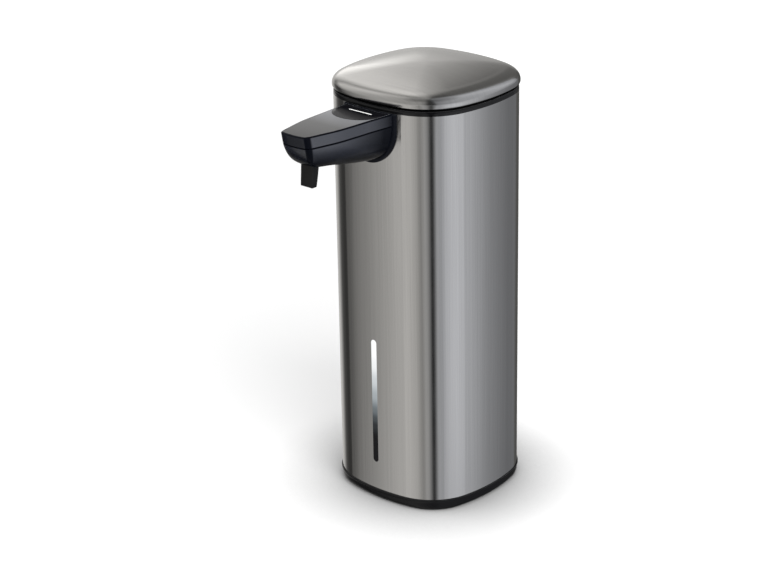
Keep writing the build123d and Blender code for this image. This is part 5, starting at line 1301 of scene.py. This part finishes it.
KEY_TOP = 206.0
KEY_LOW = 201.3
KEY_STEM = 2.4
KEY_FLANGE = 5.0
KEY_RADIUS = 4.55
KEY_OUT = -15.0
KEY_PROFILE = (
    (0.0, KEY_LOW), (KEY_STEM - 0.2, KEY_LOW), (KEY_STEM, KEY_LOW + 0.2), (KEY_STEM, KEY_LOW + 1.0),
    (KEY_FLANGE - 0.1, KEY_LOW + 1.05), (KEY_FLANGE, KEY_LOW + 1.2), (KEY_FLANGE, KEY_LOW + 1.7),
    (KEY_FLANGE - 0.1, KEY_LOW + 1.8), (KEY_RADIUS, KEY_LOW + 1.85), (KEY_RADIUS, KEY_TOP - 0.6),
    (KEY_RADIUS - 0.1, KEY_TOP - 0.25), (KEY_RADIUS - 0.35, KEY_TOP - 0.06), (KEY_RADIUS - 0.65, KEY_TOP),
    (KEY_RADIUS - 0.95, KEY_TOP - 0.03), (3.2, KEY_TOP - 0.12), (1.6, KEY_TOP - 0.2), (0.0, KEY_TOP - 0.22),
)
KEYS = (
    (-15.0, "less_key", "less_button"), (0.0, "power_key", "power_button"), (15.0, "more_key", "more_button"),
)
TURN_STEPS = 64
SIGN_TOP = KEY_TOP - 0.05
SIGN_DEPTH = 0.3
SIGN_EDGE = 0.05
SIGN_HALF = 1.5
STROKE_HALF = 0.27
CROSS_RISE = 0.01
BAR_HALF = 0.24
BAR_ENDS = (0.2, 1.9)
GAP_HALF = 0.6
GAP_ENDS = (0.3, 2.5)
RING_PROFILE = [
    (1.2, SIGN_TOP - SIGN_DEPTH), (1.2, SIGN_TOP), (1.65, SIGN_TOP), (1.65, SIGN_TOP - SIGN_DEPTH),
    (1.2, SIGN_TOP - SIGN_DEPTH),
]


def turned_piece(name, profile, x, y):
    """A turned piece: rings of (radius, height) round an upright axis at this place."""
    angles = [2 * math.pi * step / TURN_STEPS for step in range(TURN_STEPS + 1)]
    rows = []
    for radius, height in profile:
        places = ((x + radius * math.cos(angle), y + radius * math.sin(angle), height) for angle in angles)
        rows.append([Vector(place) for place in places])
    return grid_form(name, rows)


def stroke(x, half_x, low_y, high_y, above=0.0):
    """A straight stroke of a sign, between two distances from the key's middle."""
    low = (x - half_x, KEY_OUT + low_y, SIGN_TOP - SIGN_DEPTH)
    return block(low, (x + half_x, KEY_OUT + high_y, SIGN_TOP + above), SIGN_EDGE)


def join_all(pieces, name):
    """Joins pieces into one under a new name."""
    pick(pieces[0])
    if len(pieces) > 1:
        for piece in pieces:
            piece.select_set(True)
        bpy.ops.object.join()
    pieces[0].name = name
    return pieces[0]


def power_sign(x):
    """A broken ring and a short stroke through its gap."""
    bar = stroke(x, BAR_HALF, *BAR_ENDS)
    ring = turned_piece("ring", RING_PROFILE, x, KEY_OUT)
    gap_low = (x - GAP_HALF, KEY_OUT + GAP_ENDS[0], SIGN_TOP - OVERRUN)
    cut(ring, block(gap_low, (x + GAP_HALF, KEY_OUT + GAP_ENDS[1], SIGN_TOP + OVERRUN)))
    return [ring, bar]


class DISPENSER_OT_keys(bpy.types.Operator):
    """Models the three keys on the deck and their plain signs"""

    bl_idname = "dispenser.keys"
    bl_label = "Keys"

    def execute(self, context):
        for x, body, replaced in KEYS:
            key = turned_piece(f"{body}_cap", KEY_PROFILE, x, KEY_OUT)
            settle(key, body, "button rubber", [replaced])
            if body == "power_key":
                marks = power_sign(x)
            else:
                marks = [stroke(x, SIGN_HALF, -STROKE_HALF, STROKE_HALF)]
            if body == "more_key":
                marks.append(stroke(x, STROKE_HALF, -SIGN_HALF, SIGN_HALF, CROSS_RISE))
            sign = join_all(marks, f"{body}_sign")
            settle(sign, body, "pale ink")
        return {"FINISHED"}


class DISPENSER_PT_panel(bpy.types.Panel):
    """The dispenser's pieces and studio"""

    bl_idname = "DISPENSER_PT_panel"
    bl_label = "Soap dispenser"
    bl_space_type = "VIEW_3D"
    bl_region_type = "UI"
    bl_category = "Dispenser"

    def draw(self, context):
        layout = self.layout
        for operator in operators:
            layout.operator(operator.bl_idname)
        for group in (context.scene.dispenser_finishes, context.scene.dispenser_studio):
            for name in group.__annotations__:
                layout.prop(group, name)


operators = (
    DISPENSER_OT_studio, DISPENSER_OT_finishes, DISPENSER_OT_lid, DISPENSER_OT_spout, DISPENSER_OT_nozzle,
    DISPENSER_OT_bands, DISPENSER_OT_keys,
)
classes = (DispenserFinishes, DispenserStudio, *operators, DISPENSER_PT_panel)


def register():
    """Registers the classes and the settings."""
    for kind in classes:
        bpy.utils.register_class(kind)
    bpy.types.Scene.dispenser_finishes = PointerProperty(type=DispenserFinishes)
    bpy.types.Scene.dispenser_studio = PointerProperty(type=DispenserStudio)


def unregister():
    """Takes the settings and the classes away again."""
    del bpy.types.Scene.dispenser_studio
    del bpy.types.Scene.dispenser_finishes
    for kind in reversed(classes):
        bpy.utils.unregister_class(kind)


def main():
    """Builds everything in order."""
    register()
    bpy.ops.dispenser.studio()
    bpy.ops.dispenser.finishes()
    bpy.ops.dispenser.lid()
    bpy.ops.dispenser.spout()
    bpy.ops.dispenser.nozzle()
    bpy.ops.dispenser.bands()
    bpy.ops.dispenser.keys()
    bpy.context.view_layer.update()


if __name__ == "__main__":
    main()
